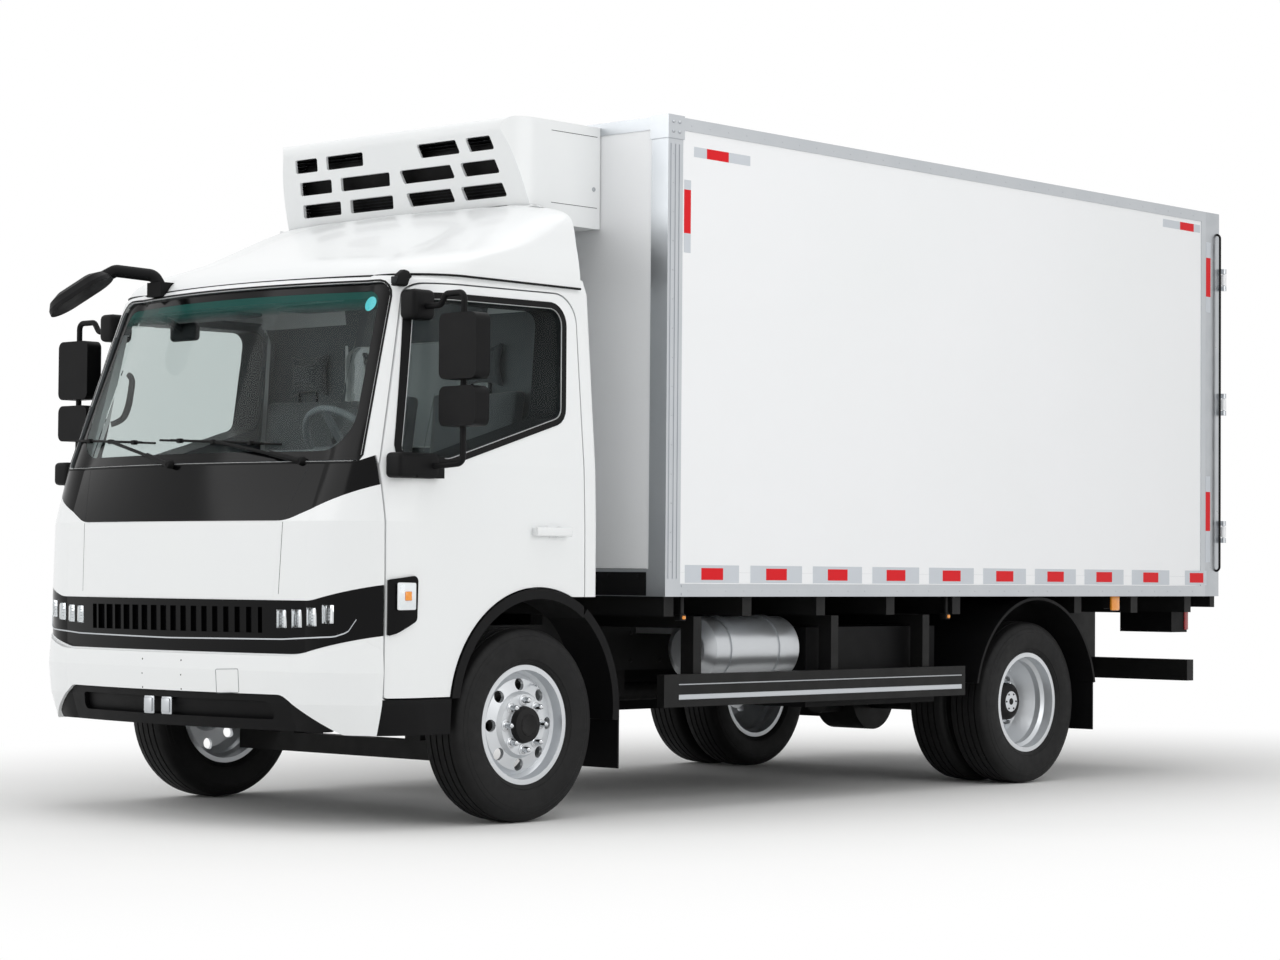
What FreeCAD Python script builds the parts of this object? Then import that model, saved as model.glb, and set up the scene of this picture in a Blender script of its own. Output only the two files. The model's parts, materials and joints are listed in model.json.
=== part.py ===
import FreeCAD, Part
import math
import os
import Sketcher

Vector = FreeCAD.Vector

# Refrigerated box truck, millimetres. X points to the truck's left, Y to its rear, Z up.
# The origin is on the ground, midway between the bumper and the tail, in the plane of symmetry.

SIZES = [
    # alias, value, what it is
    ("front_overhang", 1020, "bumper face to front axle"),
    ("wheelbase", 3360, "front axle to rear axle"),
    ("cab_box_gap", 293, "cab back wall to the front of the cargo box"),
    ("tyre_radius", 383.5, "tyre, outside"),
    ("tyre_width", 211, "tyre, over its sidewalls"),
    ("tread_width", 150, "flat part of the tread"),
    ("shoulder_drop", 46, "tread down to the widest point of the sidewall"),
    ("seat_radius", 222, "rim, where the tyre bead seats"),
    ("bead_width", 172, "tyre, over its beads"),
    ("flange_radius", 235, "rim flange"),
    ("rim_width", 168, "rim, over its flanges"),
    ("rim_wall", 9, "rim metal"),
    ("front_track", 1803, "between front tyre centres"),
    ("rear_track", 1674, "between the middles of the twin wheels"),
    ("twin_spacing", 235, "between the centres of twin tyres"),
    ("hand_hole_radius", 24, "hand hole in a wheel disc"),
    ("hand_hole_circle", 158, "radius of the ring of hand holes"),
    ("hand_hole_count", 8, "hand holes in a disc"),
    ("stub_radius", 30, "front stub axle"),
    ("axle_end_radius", 46, "rear axle end inside the hub"),
    ("running_gap", 0.3, "gap between a wheel hub and its axle, and between tyre and rim"),
    ("kingpin_span", 1730, "between the kingpins"),
    ("kingpin_radius", 18, "kingpin"),
    ("door_gap", 6, "gap round a cab door"),
    ("door_setback", 262, "bumper face to the front edge of a cab door"),
    ("panel_gap", 0.4, "gap between seated panels"),
    ("cab_depth", 1390, "bumper face to cab back wall"),
    ("cab_half_width", 1030, "cab side below the windows"),
    ("cab_floor", 885, "underside of the cab floor"),
    ("cab_sill", 500, "bottom of the cab's lower front"),
    ("cab_wall", 45, "cab wall with its lining"),
    ("cab_skin", 24, "front panels over the cab wall"),
    ("door_thickness", 82, "cab door"),
    ("glass_thickness", 6, "cab glass"),
    ("glass_inset", 12, "glass behind the outer skin"),
    ("arch_radius", 440, "front wheel opening"),
    ("arch_setback", 30, "wheel opening centre behind the front axle"),
    ("arch_height", 438, "wheel opening centre above the ground"),
    ("flare_width", 40, "black trim round the wheel opening"),
    ("tunnel_half_width", 560, "clear space over the chassis under the cab"),
    ("bumper_bottom", 375, "underside of the bumper"),
    ("bumper_top", 660, "top of the bumper on the centre line"),
    ("nose_bottom", 872, "bottom of the white nose panel"),
    ("band_bottom", 1169, "bottom of the black band"),
    ("screen_bottom", 1396, "bottom of the windscreen"),
    ("screen_top", 2102, "top of the windscreen"),
    ("pivot_setback", 200, "cab pivot behind the bumper face"),
    ("pivot_height", 470, "cab pivot above the ground"),
    ("pivot_radius", 15, "cab pivot pin"),
    ("rail_spacing", 770, "between the chassis rail centres"),
    ("rail_width", 70, "chassis rail flange"),
    ("rail_bottom", 560, "underside of the chassis rails"),
    ("rail_depth", 200, "height of the chassis rails"),
    ("rail_wall", 8, "chassis rail metal"),
    ("box_width", 2260, "cargo box, outside"),
    ("box_length", 4276, "cargo box, outside"),
    ("box_bottom", 887, "underside of the cargo box"),
    ("box_height", 1967, "cargo box, outside"),
    ("box_wall", 80, "insulated side wall"),
    ("box_floor", 100, "insulated floor"),
    ("box_roof", 90, "insulated roof"),
    ("post_width", 92, "aluminium corner post"),
    ("rail_height", 52, "aluminium bottom and top rail"),
    ("trim_thickness", 4, "aluminium extrusion standing on a panel"),
    ("cargo_hinge_offset", 18, "cargo hinge pin outside the box corner"),
    ("cargo_door_thickness", 82, "insulated cargo door"),
    ("cargo_door_recess", 22, "cargo door face in from the tail frame"),
    ("cargo_door_gap", 8, "gap round a cargo door"),
    ("frame_face", 88, "tail frame width beside and over the doors"),
    ("frame_depth", 130, "tail frame front to back"),
    ("hinge_radius", 13, "cargo hinge barrel"),
    ("reefer_width", 1500, "cooling unit"),
    ("reefer_bottom", 2411, "underside of the cooling unit"),
    ("reefer_top", 2836, "top of the cooling unit"),
    ("reefer_depth_top", 525, "cooling unit, at its top"),
    ("reefer_depth_bottom", 385, "cooling unit, at its bottom"),
    ("reefer_shell", 14, "cooling unit cover"),
    ("tank_radius", 138, "air tank"),
    ("tank_length", 616, "air tank"),
]

doc = FreeCAD.newDocument("refrigerated_truck")
sheet = doc.addObject("Spreadsheet::Sheet", "Sizes")


class Size:
    """A length that carries its value and the sheet expression it comes from."""

    def __init__(self, value, text):
        self.value = float(value)
        self.text = text

    def __add__(self, other):
        other = size(other)
        return Size(self.value + other.value, f"({self.text} + {other.text})")

    def __sub__(self, other):
        other = size(other)
        return Size(self.value - other.value, f"({self.text} - {other.text})")

    def __mul__(self, other):
        other = size(other)
        return Size(self.value * other.value, f"({self.text} * {other.text})")

    def __truediv__(self, other):
        other = size(other)
        return Size(self.value / other.value, f"({self.text} / {other.text})")

    def __neg__(self):
        return Size(-self.value, f"(0 - {self.text})")

    def __radd__(self, other):
        return size(other) + self

    def __rsub__(self, other):
        return size(other) - self

    def __rmul__(self, other):
        return size(other) * self

    def __float__(self):
        return self.value


def size(number):
    """A plain number as a Size; a Size stays as it is."""
    if isinstance(number, Size):
        return number
    return Size(number, f"({float(number)!r})")


def read_sizes():
    """Fills the sheet and returns its sizes by name."""
    for row, (alias, value, meaning) in enumerate(SIZES, start=1):
        sheet.set(f"A{row}", meaning)
        sheet.set(f"B{row}", str(value))
        sheet.setAlias(f"B{row}", alias)
    doc.recompute()
    return {alias: Size(sheet.get(alias), f"Sizes.{alias}") for alias, _, _ in SIZES}


S = read_sizes()
nodes = []

# Stations along the truck, worked out from the sheet.
NOSE = -(S["cab_depth"] + S["cab_box_gap"] + S["box_length"] + S["cargo_hinge_offset"] + S["hinge_radius"]) / 2
FRONT_AXLE = NOSE + S["front_overhang"]
REAR_AXLE = FRONT_AXLE + S["wheelbase"]
AXLE_HEIGHT = S["tyre_radius"]
CAB_BACK = NOSE + S["cab_depth"]
BOX_SIDE = S["box_width"] / 2
BOX_FRONT = CAB_BACK + S["cab_box_gap"]
BOX_REAR = BOX_FRONT + S["box_length"]
TAIL = BOX_REAR + S["cargo_hinge_offset"] + S["hinge_radius"]
BOX_TOP = S["box_bottom"] + S["box_height"]
RAIL_TOP = S["rail_bottom"] + S["rail_depth"]
PIVOT_Y = NOSE + S["pivot_setback"]
DOOR_EDGE = NOSE + S["door_setback"]


# ---------------------------------------------------------------- building blocks

def publish(item, label):
    """Marks an object as a finished sub-part."""
    item.Label = label
    nodes.append(item)
    return item


def bind(item, **fields):
    """Ties properties of an object to sheet expressions; a double underscore stands for a dot."""
    for field, value in fields.items():
        item.setExpression(field.replace("__", "."), size(value).text)


def block(name, x, y, z):
    """A box from (low, high) pairs along each axis."""
    item = doc.addObject("Part::Box", name)
    spans = [(size(low), size(high)) for low, high in (x, y, z)]
    bind(item, Length=spans[0][1] - spans[0][0], Width=spans[1][1] - spans[1][0],
         Height=spans[2][1] - spans[2][0], Placement__Base__x=spans[0][0],
         Placement__Base__y=spans[1][0], Placement__Base__z=spans[2][0])
    return item


AXIS_TURN = {
    "x": FreeCAD.Rotation(Vector(0, 1, 0), 90),
    "y": FreeCAD.Rotation(Vector(1, 0, 0), -90),
    "z": FreeCAD.Rotation(),
}


def rod(name, axis, radius, low, high, centre):
    """A cylinder along an axis; centre gives its other two coordinates in X, Y, Z order."""
    item = doc.addObject("Part::Cylinder", name)
    item.Placement = FreeCAD.Placement(Vector(), AXIS_TURN[axis])
    base = list(centre)
    base.insert("xyz".index(axis), low)
    bind(item, Radius=radius, Height=size(high) - low, Placement__Base__x=base[0],
         Placement__Base__y=base[1], Placement__Base__z=base[2])
    return item


def join(name, items):
    """One object from several; pieces that do not touch stay separate solids."""
    item = doc.addObject("Part::MultiFuse", name)
    item.Shapes = items
    return item


def cut(name, base, tools):
    """The base with every tool taken away."""
    tool = tools[0] if len(tools) == 1 else join(name + "_tools", tools)
    item = doc.addObject("Part::Cut", name)
    item.Base = base
    item.Tool = tool
    return item


def ordered(one, other):
    """Two stations, low one first."""
    return tuple(sorted((one, other), key=float))


def mirrored(name, source):
    """The same object on the other side of the truck."""
    item = doc.addObject("Part::Mirroring", name)
    item.Source = source
    item.Normal = (1, 0, 0)
    item.Base = (0, 0, 0)
    return item


def both_sides(name, source):
    return join(name, [source, mirrored(name + "_right", source)])


def gather(name, items):
    """One object from several that touch; each stays a solid of its own."""
    item = doc.addObject("Part::Compound", name)
    item.Links = items
    return item


def shaped(name, shape):
    """An object whose shape comes straight from Part's own functions."""
    item = doc.addObject("Part::Feature", name)
    item.Shape = shape
    return item


def point(x, y, z):
    return Vector(float(x), float(y), float(z))


def rounded_outline(points):
    """An outline whose corners are rounded: (u, v, radius) in order, as lines and arcs of (u, v)."""
    count = len(points)
    corners = [Vector(float(u), float(v), 0) for u, v, _ in points]
    pieces = []
    for index, (corner, (_, _, radius)) in enumerate(zip(corners, points)):
        before = corners[index - 1] - corner
        after = corners[(index + 1) % count] - corner
        before.normalize()
        after.normalize()
        if float(radius) == 0:
            pieces.append((corner, corner, corner))
            continue
        half = before.getAngle(after) / 2
        reach = float(radius) / math.tan(half)
        middle = (before + after).normalize()
        arc_point = corner + middle * (float(radius) / math.sin(half) - float(radius))
        pieces.append((corner + before * reach, arc_point, corner + after * reach))
    return pieces


def outline_face(points, place):
    """A face over a rounded outline; place turns (u, v) into a 3-D point."""
    pieces = rounded_outline(points)
    edges = []
    for index, (start, middle, end) in enumerate(pieces):
        if (end - start).Length > 0:
            edges.append(Part.Arc(place(start), place(middle), place(end)).toShape())
        following = pieces[(index + 1) % len(pieces)][0]
        if (following - end).Length > 1e-6:
            edges.append(Part.LineSegment(place(end), place(following)).toShape())
    return Part.Face(Part.Wire(edges))


def side_panel(points, low, high):
    """A prism along X over a rounded (y, z, radius) outline."""
    face = outline_face(points, lambda p: Vector(float(low), p.x, p.y))
    return face.extrude(point(float(high) - float(low), 0, 0))


def front_panel(points, low, high):
    """A prism along Y over a rounded (x, z, radius) outline."""
    face = outline_face(points, lambda p: Vector(p.x, float(low), p.y))
    return face.extrude(point(0, float(high) - float(low), 0))


def both_ways(points):
    """An (x, z, radius) outline given for the left half, from bottom centre up, made whole."""
    return points + [(-x, z, radius) for x, z, radius in reversed(points)]


# ---------------------------------------------------------------- wheels and axles

def lathe(label, profile, place_x, place_y, side):
    """A turned body about its own X axis; profile is a closed (along, radius) outline."""
    body = doc.addObject("PartDesign::Body", label + "_body")
    plane = next(item for item in body.Origin.OriginFeatures if item.Role == "XY_Plane")
    sketch = body.newObject("Sketcher::SketchObject", label + "_profile")
    sketch.AttachmentSupport = [(plane, "")]
    sketch.MapMode = "FlatFace"
    profile = [(size(along), size(radius)) for along, radius in profile]
    count = len(profile)
    for index in range(count):
        start, end = profile[index], profile[(index + 1) % count]
        sketch.addGeometry(Part.LineSegment(point(start[0], start[1], 0), point(end[0], end[1], 0)), False)
    for index in range(count):
        sketch.addConstraint(Sketcher.Constraint("Coincident", index, 2, (index + 1) % count, 1))
    for index, corner in enumerate(profile):
        for kind, value in zip(("DistanceX", "DistanceY"), corner):
            number = sketch.addConstraint(Sketcher.Constraint(kind, -1, 1, index, 1, value.value))
            sketch.setExpression(f"Constraints[{number}]", value.text)
    turn = body.newObject("PartDesign::Revolution", label + "_turn")
    turn.Profile = sketch
    turn.ReferenceAxis = (sketch, ["H_Axis"])
    turn.Angle = 360
    body.Placement = FreeCAD.Placement(Vector(), FreeCAD.Rotation(Vector(0, 0, 1), 0 if side > 0 else 180))
    bind(body, Placement__Base__x=place_x, Placement__Base__y=place_y, Placement__Base__z=AXLE_HEIGHT)
    return body


def hand_holes(body, label, circle):
    """A ring of round holes through a wheel disc, one pocket repeated about the axle."""
    plane = next(item for item in body.Origin.OriginFeatures if item.Role == "YZ_Plane")
    axis = next(item for item in body.Origin.OriginFeatures if item.Role == "X_Axis")
    sketch = body.newObject("Sketcher::SketchObject", label + "_hole")
    sketch.AttachmentSupport = [(plane, "")]
    sketch.MapMode = "FlatFace"
    sketch.addGeometry(Part.Circle(point(0, circle, 0), Vector(0, 0, 1), float(S["hand_hole_radius"])), False)
    sketch.addConstraint(Sketcher.Constraint("PointOnObject", 0, 3, -2))
    rise = sketch.addConstraint(Sketcher.Constraint("DistanceY", -1, 1, 0, 3, float(circle)))
    wide = sketch.addConstraint(Sketcher.Constraint("Radius", 0, float(S["hand_hole_radius"])))
    bind(sketch, **{f"Constraints[{rise}]": circle, f"Constraints[{wide}]": S["hand_hole_radius"]})
    doc.recompute()
    pocket = body.newObject("PartDesign::Pocket", label + "_pocket")
    pocket.Profile = sketch
    pocket.Type = "ThroughAll"
    pocket.Midplane = True
    pattern = body.newObject("PartDesign::PolarPattern", label + "_ring")
    pattern.Originals = [pocket]
    pattern.Axis = (axis, [""])
    pattern.Angle = 360
    bind(pattern, Occurrences=S["hand_hole_count"])
    body.Tip = pattern


def tyre_profile(centre):
    """The section of one tyre whose middle stands at centre along the axle."""
    tread, wide, bead = S["tread_width"] / 2, S["tyre_width"] / 2, S["bead_width"] / 2
    shoulder = S["tyre_radius"] - S["shoulder_drop"]
    bore = S["flange_radius"] + S["running_gap"]
    half = [(bead, bore), (wide, shoulder), (tread, S["tyre_radius"])]
    right = [(centre + along, radius) for along, radius in half]
    left = [(centre - along, radius) for along, radius in reversed(half)]
    return right + left


def barrel(centre, way):
    """A rim section: its outside, its inside beyond the drop centre, and its inside before it."""
    half, wall = S["rim_width"] / 2, S["rim_wall"]
    lip, lip_slope, seat_width, drop_slope = 7, 4, 35, 14
    flange, seat = S["flange_radius"], S["seat_radius"]
    drop = seat - drop_slope
    ledge = half - lip - lip_slope
    well = ledge - seat_width
    floor = well - drop_slope
    outside = [(-half, flange), (lip - half, flange), (-ledge, seat), (-well, seat), (-floor, drop),
               (floor, drop), (well, seat), (ledge, seat), (half - lip, flange), (half, flange)]
    beyond = [(half, seat - lip), (well, seat - wall), (floor, drop - wall)]
    before = [(-along, radius) for along, radius in reversed(beyond)]
    return [[(centre + way * along, radius) for along, radius in part] for part in (outside, beyond, before)]


def front_rim_profile():
    """Rim, bulging disc and hub of a front wheel, as one turned section."""
    outside, beyond, before = barrel(size(0), 1)
    bore = S["stub_radius"] + S["running_gap"]
    well = S["seat_radius"] - 23
    face = [(50, 180), (60, 132), (78, 120), (78, 74), (104, 66), (112, 40), (112, 0)]
    back = [(88, 0), (88, bore), (24, bore), (24, 70), (46, 104), (38, 174), (8, well)]
    return outside + beyond + face + back + before


def rear_rim_profile():
    """Two rims back to back with their dished discs and one hub, as one turned section."""
    half = S["twin_spacing"] / 2
    outer, outer_beyond, outer_before = barrel(half, 1)
    inner, inner_beyond, inner_before = barrel(-half, -1)
    bore = S["axle_end_radius"] + S["running_gap"]
    well = S["seat_radius"] - 23
    outer_face = [(112, well), (36, 158), (14, 140), (14, 92), (98, 84), (112, 60), (112, 0)]
    hub = [(84, 0), (84, bore), (-70, bore), (-70, 92), (-14, 92), (-14, 140), (-36, 158), (-112, well)]
    waist = [(-16, 162), (0, 154), (16, 162)]
    return (outer + outer_beyond + outer_face + hub + inner_beyond[::-1] + inner[::-1]
            + inner_before[::-1] + waist + outer_before)


def make_wheels():
    """Four wheel sets; the rear ones are twins on one hub."""
    for side, word in ((1, "left"), (-1, "right")):
        front_x = side * S["front_track"] / 2
        rear_x = side * S["rear_track"] / 2
        rim = lathe(f"front_rim_{word}", front_rim_profile(), front_x, FRONT_AXLE, side)
        hand_holes(rim, f"front_rim_{word}", S["hand_hole_circle"])
        publish(rim, f"front_rim_{word}")
        publish(lathe(f"front_tyre_{word}", tyre_profile(size(0)), front_x, FRONT_AXLE, side),
                f"front_tyre_{word}")
        rims = lathe(f"rear_rims_{word}", rear_rim_profile(), rear_x, REAR_AXLE, side)
        hand_holes(rims, f"rear_rims_{word}", S["hand_hole_circle"] - 30)
        publish(rims, f"rear_rims_{word}")
        half = S["twin_spacing"] / 2
        pair = [lathe(f"rear_tyre_{word}_{place}", tyre_profile(along), rear_x, REAR_AXLE, side)
                for place, along in (("outer", half), ("inner", -half))]
        publish(join(f"rear_tyres_{word}_pair", pair), f"rear_tyres_{word}")


def make_axles():
    """Front beam with its kingpin bosses, rear axle, leaf springs, knuckles and stub axles."""
    kingpin_x = S["kingpin_span"] / 2
    pin = S["kingpin_radius"]
    boss_half, boss_radius = 42, pin + 16
    drop_x = kingpin_x - 175
    drop_low, drop_high = AXLE_HEIGHT - 163, AXLE_HEIGHT - 85
    beam_span = (FRONT_AXLE - 32, FRONT_AXLE + 32)
    beam = block("front_beam", (-drop_x, drop_x), beam_span, (drop_low, drop_high))
    necks = [block(f"beam_neck_{word}", ordered(side * (drop_x - 90), side * drop_x), beam_span,
                   (drop_low, AXLE_HEIGHT - 2))
             for side, word in ((1, "left"), (-1, "right"))]
    arms = [block(f"beam_arm_{word}", ordered(side * (drop_x - 90), side * (kingpin_x - 60)), beam_span,
                  (AXLE_HEIGHT - 62, AXLE_HEIGHT - 2))
            for side, word in ((1, "left"), (-1, "right"))]
    ends = [block(f"beam_end_{word}", (low, high), (FRONT_AXLE - 24, FRONT_AXLE + 24),
                  (AXLE_HEIGHT - 30, AXLE_HEIGHT + 20))
            for word, low, high in (("left", kingpin_x - 90, kingpin_x), ("right", -kingpin_x, 90 - kingpin_x))]
    bosses, bores = [], []
    for side, word in ((1, "left"), (-1, "right")):
        place = (side * kingpin_x, FRONT_AXLE)
        bosses.append(rod(f"boss_{word}", "z", boss_radius, AXLE_HEIGHT - boss_half,
                          AXLE_HEIGHT + boss_half, place))
        bores.append(rod(f"boss_bore_{word}", "z", pin + S["running_gap"], AXLE_HEIGHT - 100,
                         AXLE_HEIGHT + 100, place))
    seats = [block(f"spring_seat_{word}", (side * S["rail_spacing"] / 2 - 45, side * S["rail_spacing"] / 2 + 45),
                   (FRONT_AXLE - 70, FRONT_AXLE + 70), (AXLE_HEIGHT - 10, AXLE_HEIGHT + 8))
             for side, word in ((1, "left"), (-1, "right"))]
    pillars = [block(f"spring_pillar_{word}",
                     (side * S["rail_spacing"] / 2 - 45, side * S["rail_spacing"] / 2 + 45), beam_span,
                     (drop_low, AXLE_HEIGHT))
               for side, word in ((1, "left"), (-1, "right"))]
    pieces = [beam] + necks + arms + ends + bosses + seats + pillars
    publish(cut("front_axle_bored", join("front_axle_solid", pieces), bores),
            "front_axle_beam")

    arm_gap = 1.5
    hub_face = S["front_track"] / 2 + 22
    for side, word in ((1, "left"), (-1, "right")):
        place = (side * kingpin_x, FRONT_AXLE)
        plate_near, plate_far = side * (hub_face - 20), side * (hub_face - 4)
        plate = block(f"knuckle_plate_{word}", ordered(plate_near, plate_far),
                      (FRONT_AXLE - 55, FRONT_AXLE + 55), (AXLE_HEIGHT - 80, AXLE_HEIGHT + 80))
        arms = []
        for step, name in ((1, "upper"), (-1, "lower")):
            near = AXLE_HEIGHT + step * (boss_half + arm_gap)
            far = near + step * 24
            arms.append(block(f"knuckle_{name}_{word}", ordered(side * (kingpin_x - 30), plate_near),
                              (FRONT_AXLE - 34, FRONT_AXLE + 34), ordered(near, far)))
        arms.append(rod(f"kingpin_{word}", "z", pin, AXLE_HEIGHT - boss_half - 10,
                        AXLE_HEIGHT + boss_half + 10, place))
        steering_arm = block(f"steering_arm_{word}", ordered(side * (kingpin_x - 30), side * (kingpin_x + 10)),
                             (FRONT_AXLE, FRONT_AXLE + 140), (AXLE_HEIGHT - boss_half - 24, AXLE_HEIGHT - boss_half - 6))
        stub = rod(f"stub_{word}", "x", S["stub_radius"], *ordered(plate_near, side * (hub_face + 64)),
                   (FRONT_AXLE, AXLE_HEIGHT))
        publish(join(f"knuckle_{word}_whole", [plate, *arms, steering_arm, stub]), f"knuckle_{word}")

    tube_end = S["rear_track"] / 2 - 76
    housing = [rod("rear_tube", "x", 62, -tube_end, tube_end, (REAR_AXLE, AXLE_HEIGHT)),
               rod("rear_shaft", "x", S["axle_end_radius"], -S["rear_track"] / 2 - 80,
                   S["rear_track"] / 2 + 80, (REAR_AXLE, AXLE_HEIGHT)),
               rod("differential", "x", 165, -120, 120, (REAR_AXLE, AXLE_HEIGHT)),
               rod("pinion_nose", "y", 80, REAR_AXLE - 300, REAR_AXLE, (0, AXLE_HEIGHT))]
    housing += [block(f"rear_seat_{word}", (side * S["rail_spacing"] / 2 - 45, side * S["rail_spacing"] / 2 + 45),
                      (REAR_AXLE - 80, REAR_AXLE + 80), (AXLE_HEIGHT, AXLE_HEIGHT + 72))
                for side, word in ((1, "left"), (-1, "right"))]
    publish(join("rear_axle_whole", housing), "rear_axle")
    packs = leaf_packs(FRONT_AXLE, AXLE_HEIGHT + 8, 1150) + leaf_packs(REAR_AXLE, AXLE_HEIGHT + 72, 1250)
    publish(shaped("leaf_springs_packs", packs[0].multiFuse(packs[1:]).removeSplitter()), "leaf_springs")


def leaf_packs(axle, seat, span):
    """A pair of leaf packs that curve up from the axle to their hangers under the rails."""
    leaf, count, wide, hanger = 13, 3, 66, 52
    rise = S["rail_bottom"] - seat - hanger
    solids = []
    for side in (1, -1):
        middle = side * S["rail_spacing"] / 2
        for step in range(count):
            half = size(span / 2 - step * 130)
            lift = rise * ((half / (span / 2)) * (half / (span / 2)))
            low = seat + leaf * (count - 1 - step)
            edges = [Part.Arc(point(0, axle - half, low + lift), point(0, axle, low),
                              point(0, axle + half, low + lift)).toShape(),
                     Part.LineSegment(point(0, axle + half, low + lift),
                                      point(0, axle + half, low + lift + leaf)).toShape(),
                     Part.Arc(point(0, axle + half, low + lift + leaf), point(0, axle, low + leaf),
                              point(0, axle - half, low + lift + leaf)).toShape(),
                     Part.LineSegment(point(0, axle - half, low + lift + leaf),
                                      point(0, axle - half, low + lift)).toShape()]
            face = Part.Face(Part.Wire(edges))
            solids.append(face.extrude(Vector(wide, 0, 0)).translated(point(middle - wide / 2, 0, 0)))
    top = seat + leaf * count
    for side in (1, -1):
        middle = side * S["rail_spacing"] / 2
        for end in (-1, 1):
            low = seat + leaf * (count - 1) + rise
            height = S["rail_bottom"] - low
            solids.append(Part.makeBox(wide, 60, float(height),
                                       point(middle - wide / 2, axle + end * (span / 2 - 30) - 30, low)))
        solids.append(Part.makeBox(wide + 10, 110, 12, point(middle - wide / 2 - 5, axle - 55, top)))
    return solids


# ---------------------------------------------------------------- chassis

def make_chassis():
    """Two channel rails with their cross members, cab pivots and cab rests."""
    half = S["rail_spacing"] / 2
    front, rear = NOSE + 285, TAIL - 90
    outside, wall = half + S["rail_width"] / 2, S["rail_wall"]
    inside = outside - S["rail_width"]
    rail = cut("rail_left", block("rail_solid", (inside, outside), (front, rear), (S["rail_bottom"], RAIL_TOP)),
               [block("rail_hollow", (inside - 1, outside - wall), (front - 1, rear + 1),
                      (S["rail_bottom"] + wall, RAIL_TOP - wall))])
    rails = [rail, mirrored("rail_right", rail)]
    members = [
        # name, station of its middle, length along the truck, height
        ("member_front", front + 30, 60, 150),
        ("member_cab", CAB_BACK - 60, 90, 150),
        ("member_middle", FRONT_AXLE + 1500, 80, 120),
        ("member_axle", REAR_AXLE - 700, 80, 120),
        ("member_rear_axle", REAR_AXLE + 760, 80, 120),
        ("member_tail", rear - 40, 80, S["rail_depth"]),
    ]
    crossings = [block(name, (-(outside - wall), outside - wall), (station - length / 2, station + length / 2),
                       (RAIL_TOP - wall - height, RAIL_TOP - wall) if name != "member_tail"
                       else (S["rail_bottom"], RAIL_TOP))
                 for name, station, length, height in members]
    rests = [block(f"cab_rest_{word}", (side * half - 40, side * half + 40), (CAB_BACK - 110, CAB_BACK - 10),
                   (RAIL_TOP - wall, S["cab_floor"] - S["panel_gap"]))
             for side, word in ((1, "left"), (-1, "right"))]
    horns = [block(f"pivot_horn_{word}", ordered(side * (half - 35), side * (half - 13)),
                   (PIVOT_Y - 40, front + 60), (S["pivot_height"] - 40, S["rail_bottom"] + 60))
             for side, word in ((1, "left"), (-1, "right"))]
    pins = [rod(f"pivot_pin_{word}", "x", S["pivot_radius"], *ordered(side * (half - 20), side * (half + 30)),
                (PIVOT_Y, S["pivot_height"]))
            for side, word in ((1, "left"), (-1, "right"))]
    publish(join("chassis_whole", rails + crossings + rests + horns + pins), "chassis_frame")


def make_driveline():
    """Closed-in heavy masses as plain blocks, and the shaft to the rear axle."""
    rail_face = S["rail_spacing"] / 2 + S["rail_width"] / 2
    web, ledge = rail_face - S["rail_wall"], S["rail_bottom"] + S["rail_wall"]
    motor = block("motor_block", (-210, 210), (FRONT_AXLE + 900, FRONT_AXLE + 1430), (430, RAIL_TOP - 40))
    cradle = block("motor_cradle", (S["panel_gap"] - web, web - S["panel_gap"]),
                   (FRONT_AXLE + 1120, FRONT_AXLE + 1210), (ledge, ledge + 40))
    shaft = rod("shaft_tube", "y", 42, FRONT_AXLE + 1430 - 10, REAR_AXLE - 300 - S["running_gap"],
                (0, AXLE_HEIGHT + 60))
    publish(join("driveline_whole", [motor, cradle, shaft]), "driveline")
    packs = [block(f"battery_{word}", ordered(side * (rail_face + S["panel_gap"]),
                                              side * (S["box_width"] / 2 - 180)),
                   (low, high), (bottom, RAIL_TOP - 10))
             for word, side, low, high, bottom in (
                 ("right", -1, FRONT_AXLE + 1000, REAR_AXLE - 620, size(330)),
                 ("left", 1, FRONT_AXLE + 1180 + S["tank_length"], REAR_AXLE - 620, size(400)))]
    publish(join("battery_packs", packs), "battery_packs")


def make_air_tank():
    """A cylinder tank with domed ends, two straps and the brackets that hang it from the rail."""
    centre_x = size(830)
    centre_z = RAIL_TOP - 100
    low = FRONT_AXLE + 1147
    high = low + S["tank_length"]
    radius = S["tank_radius"]
    dome = 34
    body = rod("tank_body", "y", radius, low + dome, high - dome, (centre_x, centre_z))
    ends = []
    for word, start, end in (("front", low + dome, low), ("back", high - dome, high)):
        cone = doc.addObject("Part::Cone", f"tank_{word}")
        turn = Vector(1, 0, 0), (-90 if float(end) > float(start) else 90)
        cone.Placement = FreeCAD.Placement(Vector(), FreeCAD.Rotation(*turn))
        bind(cone, Radius1=radius, Radius2=radius - 44, Height=dome, Placement__Base__x=centre_x,
             Placement__Base__y=start, Placement__Base__z=centre_z)
        ends.append(cone)
    publish(join("tank_whole", [body] + ends), "air_tank")
    straps = []
    rail_face = S["rail_spacing"] / 2 + S["rail_width"] / 2
    for word, along in (("front", 0.24), ("back", 0.76)):
        station = low + S["tank_length"] * along
        ring = cut(f"strap_{word}", rod(f"strap_out_{word}", "y", radius + 6, station - 22, station + 22,
                                        (centre_x, centre_z)),
                   [rod(f"strap_in_{word}", "y", radius + 0.3, station - 23, station + 23, (centre_x, centre_z))])
        arm = cut(f"tank_arm_{word}", block(f"tank_arm_block_{word}", (rail_face, centre_x),
                                            (station - 22, station + 22), (centre_z + 60, centre_z + 100)),
                  [rod(f"tank_arm_void_{word}", "y", radius + 2, station - 30, station + 30, (centre_x, centre_z))])
        straps += [ring, arm]
    publish(join("tank_straps", straps), "tank_brackets")


# ---------------------------------------------------------------- cab

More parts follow.
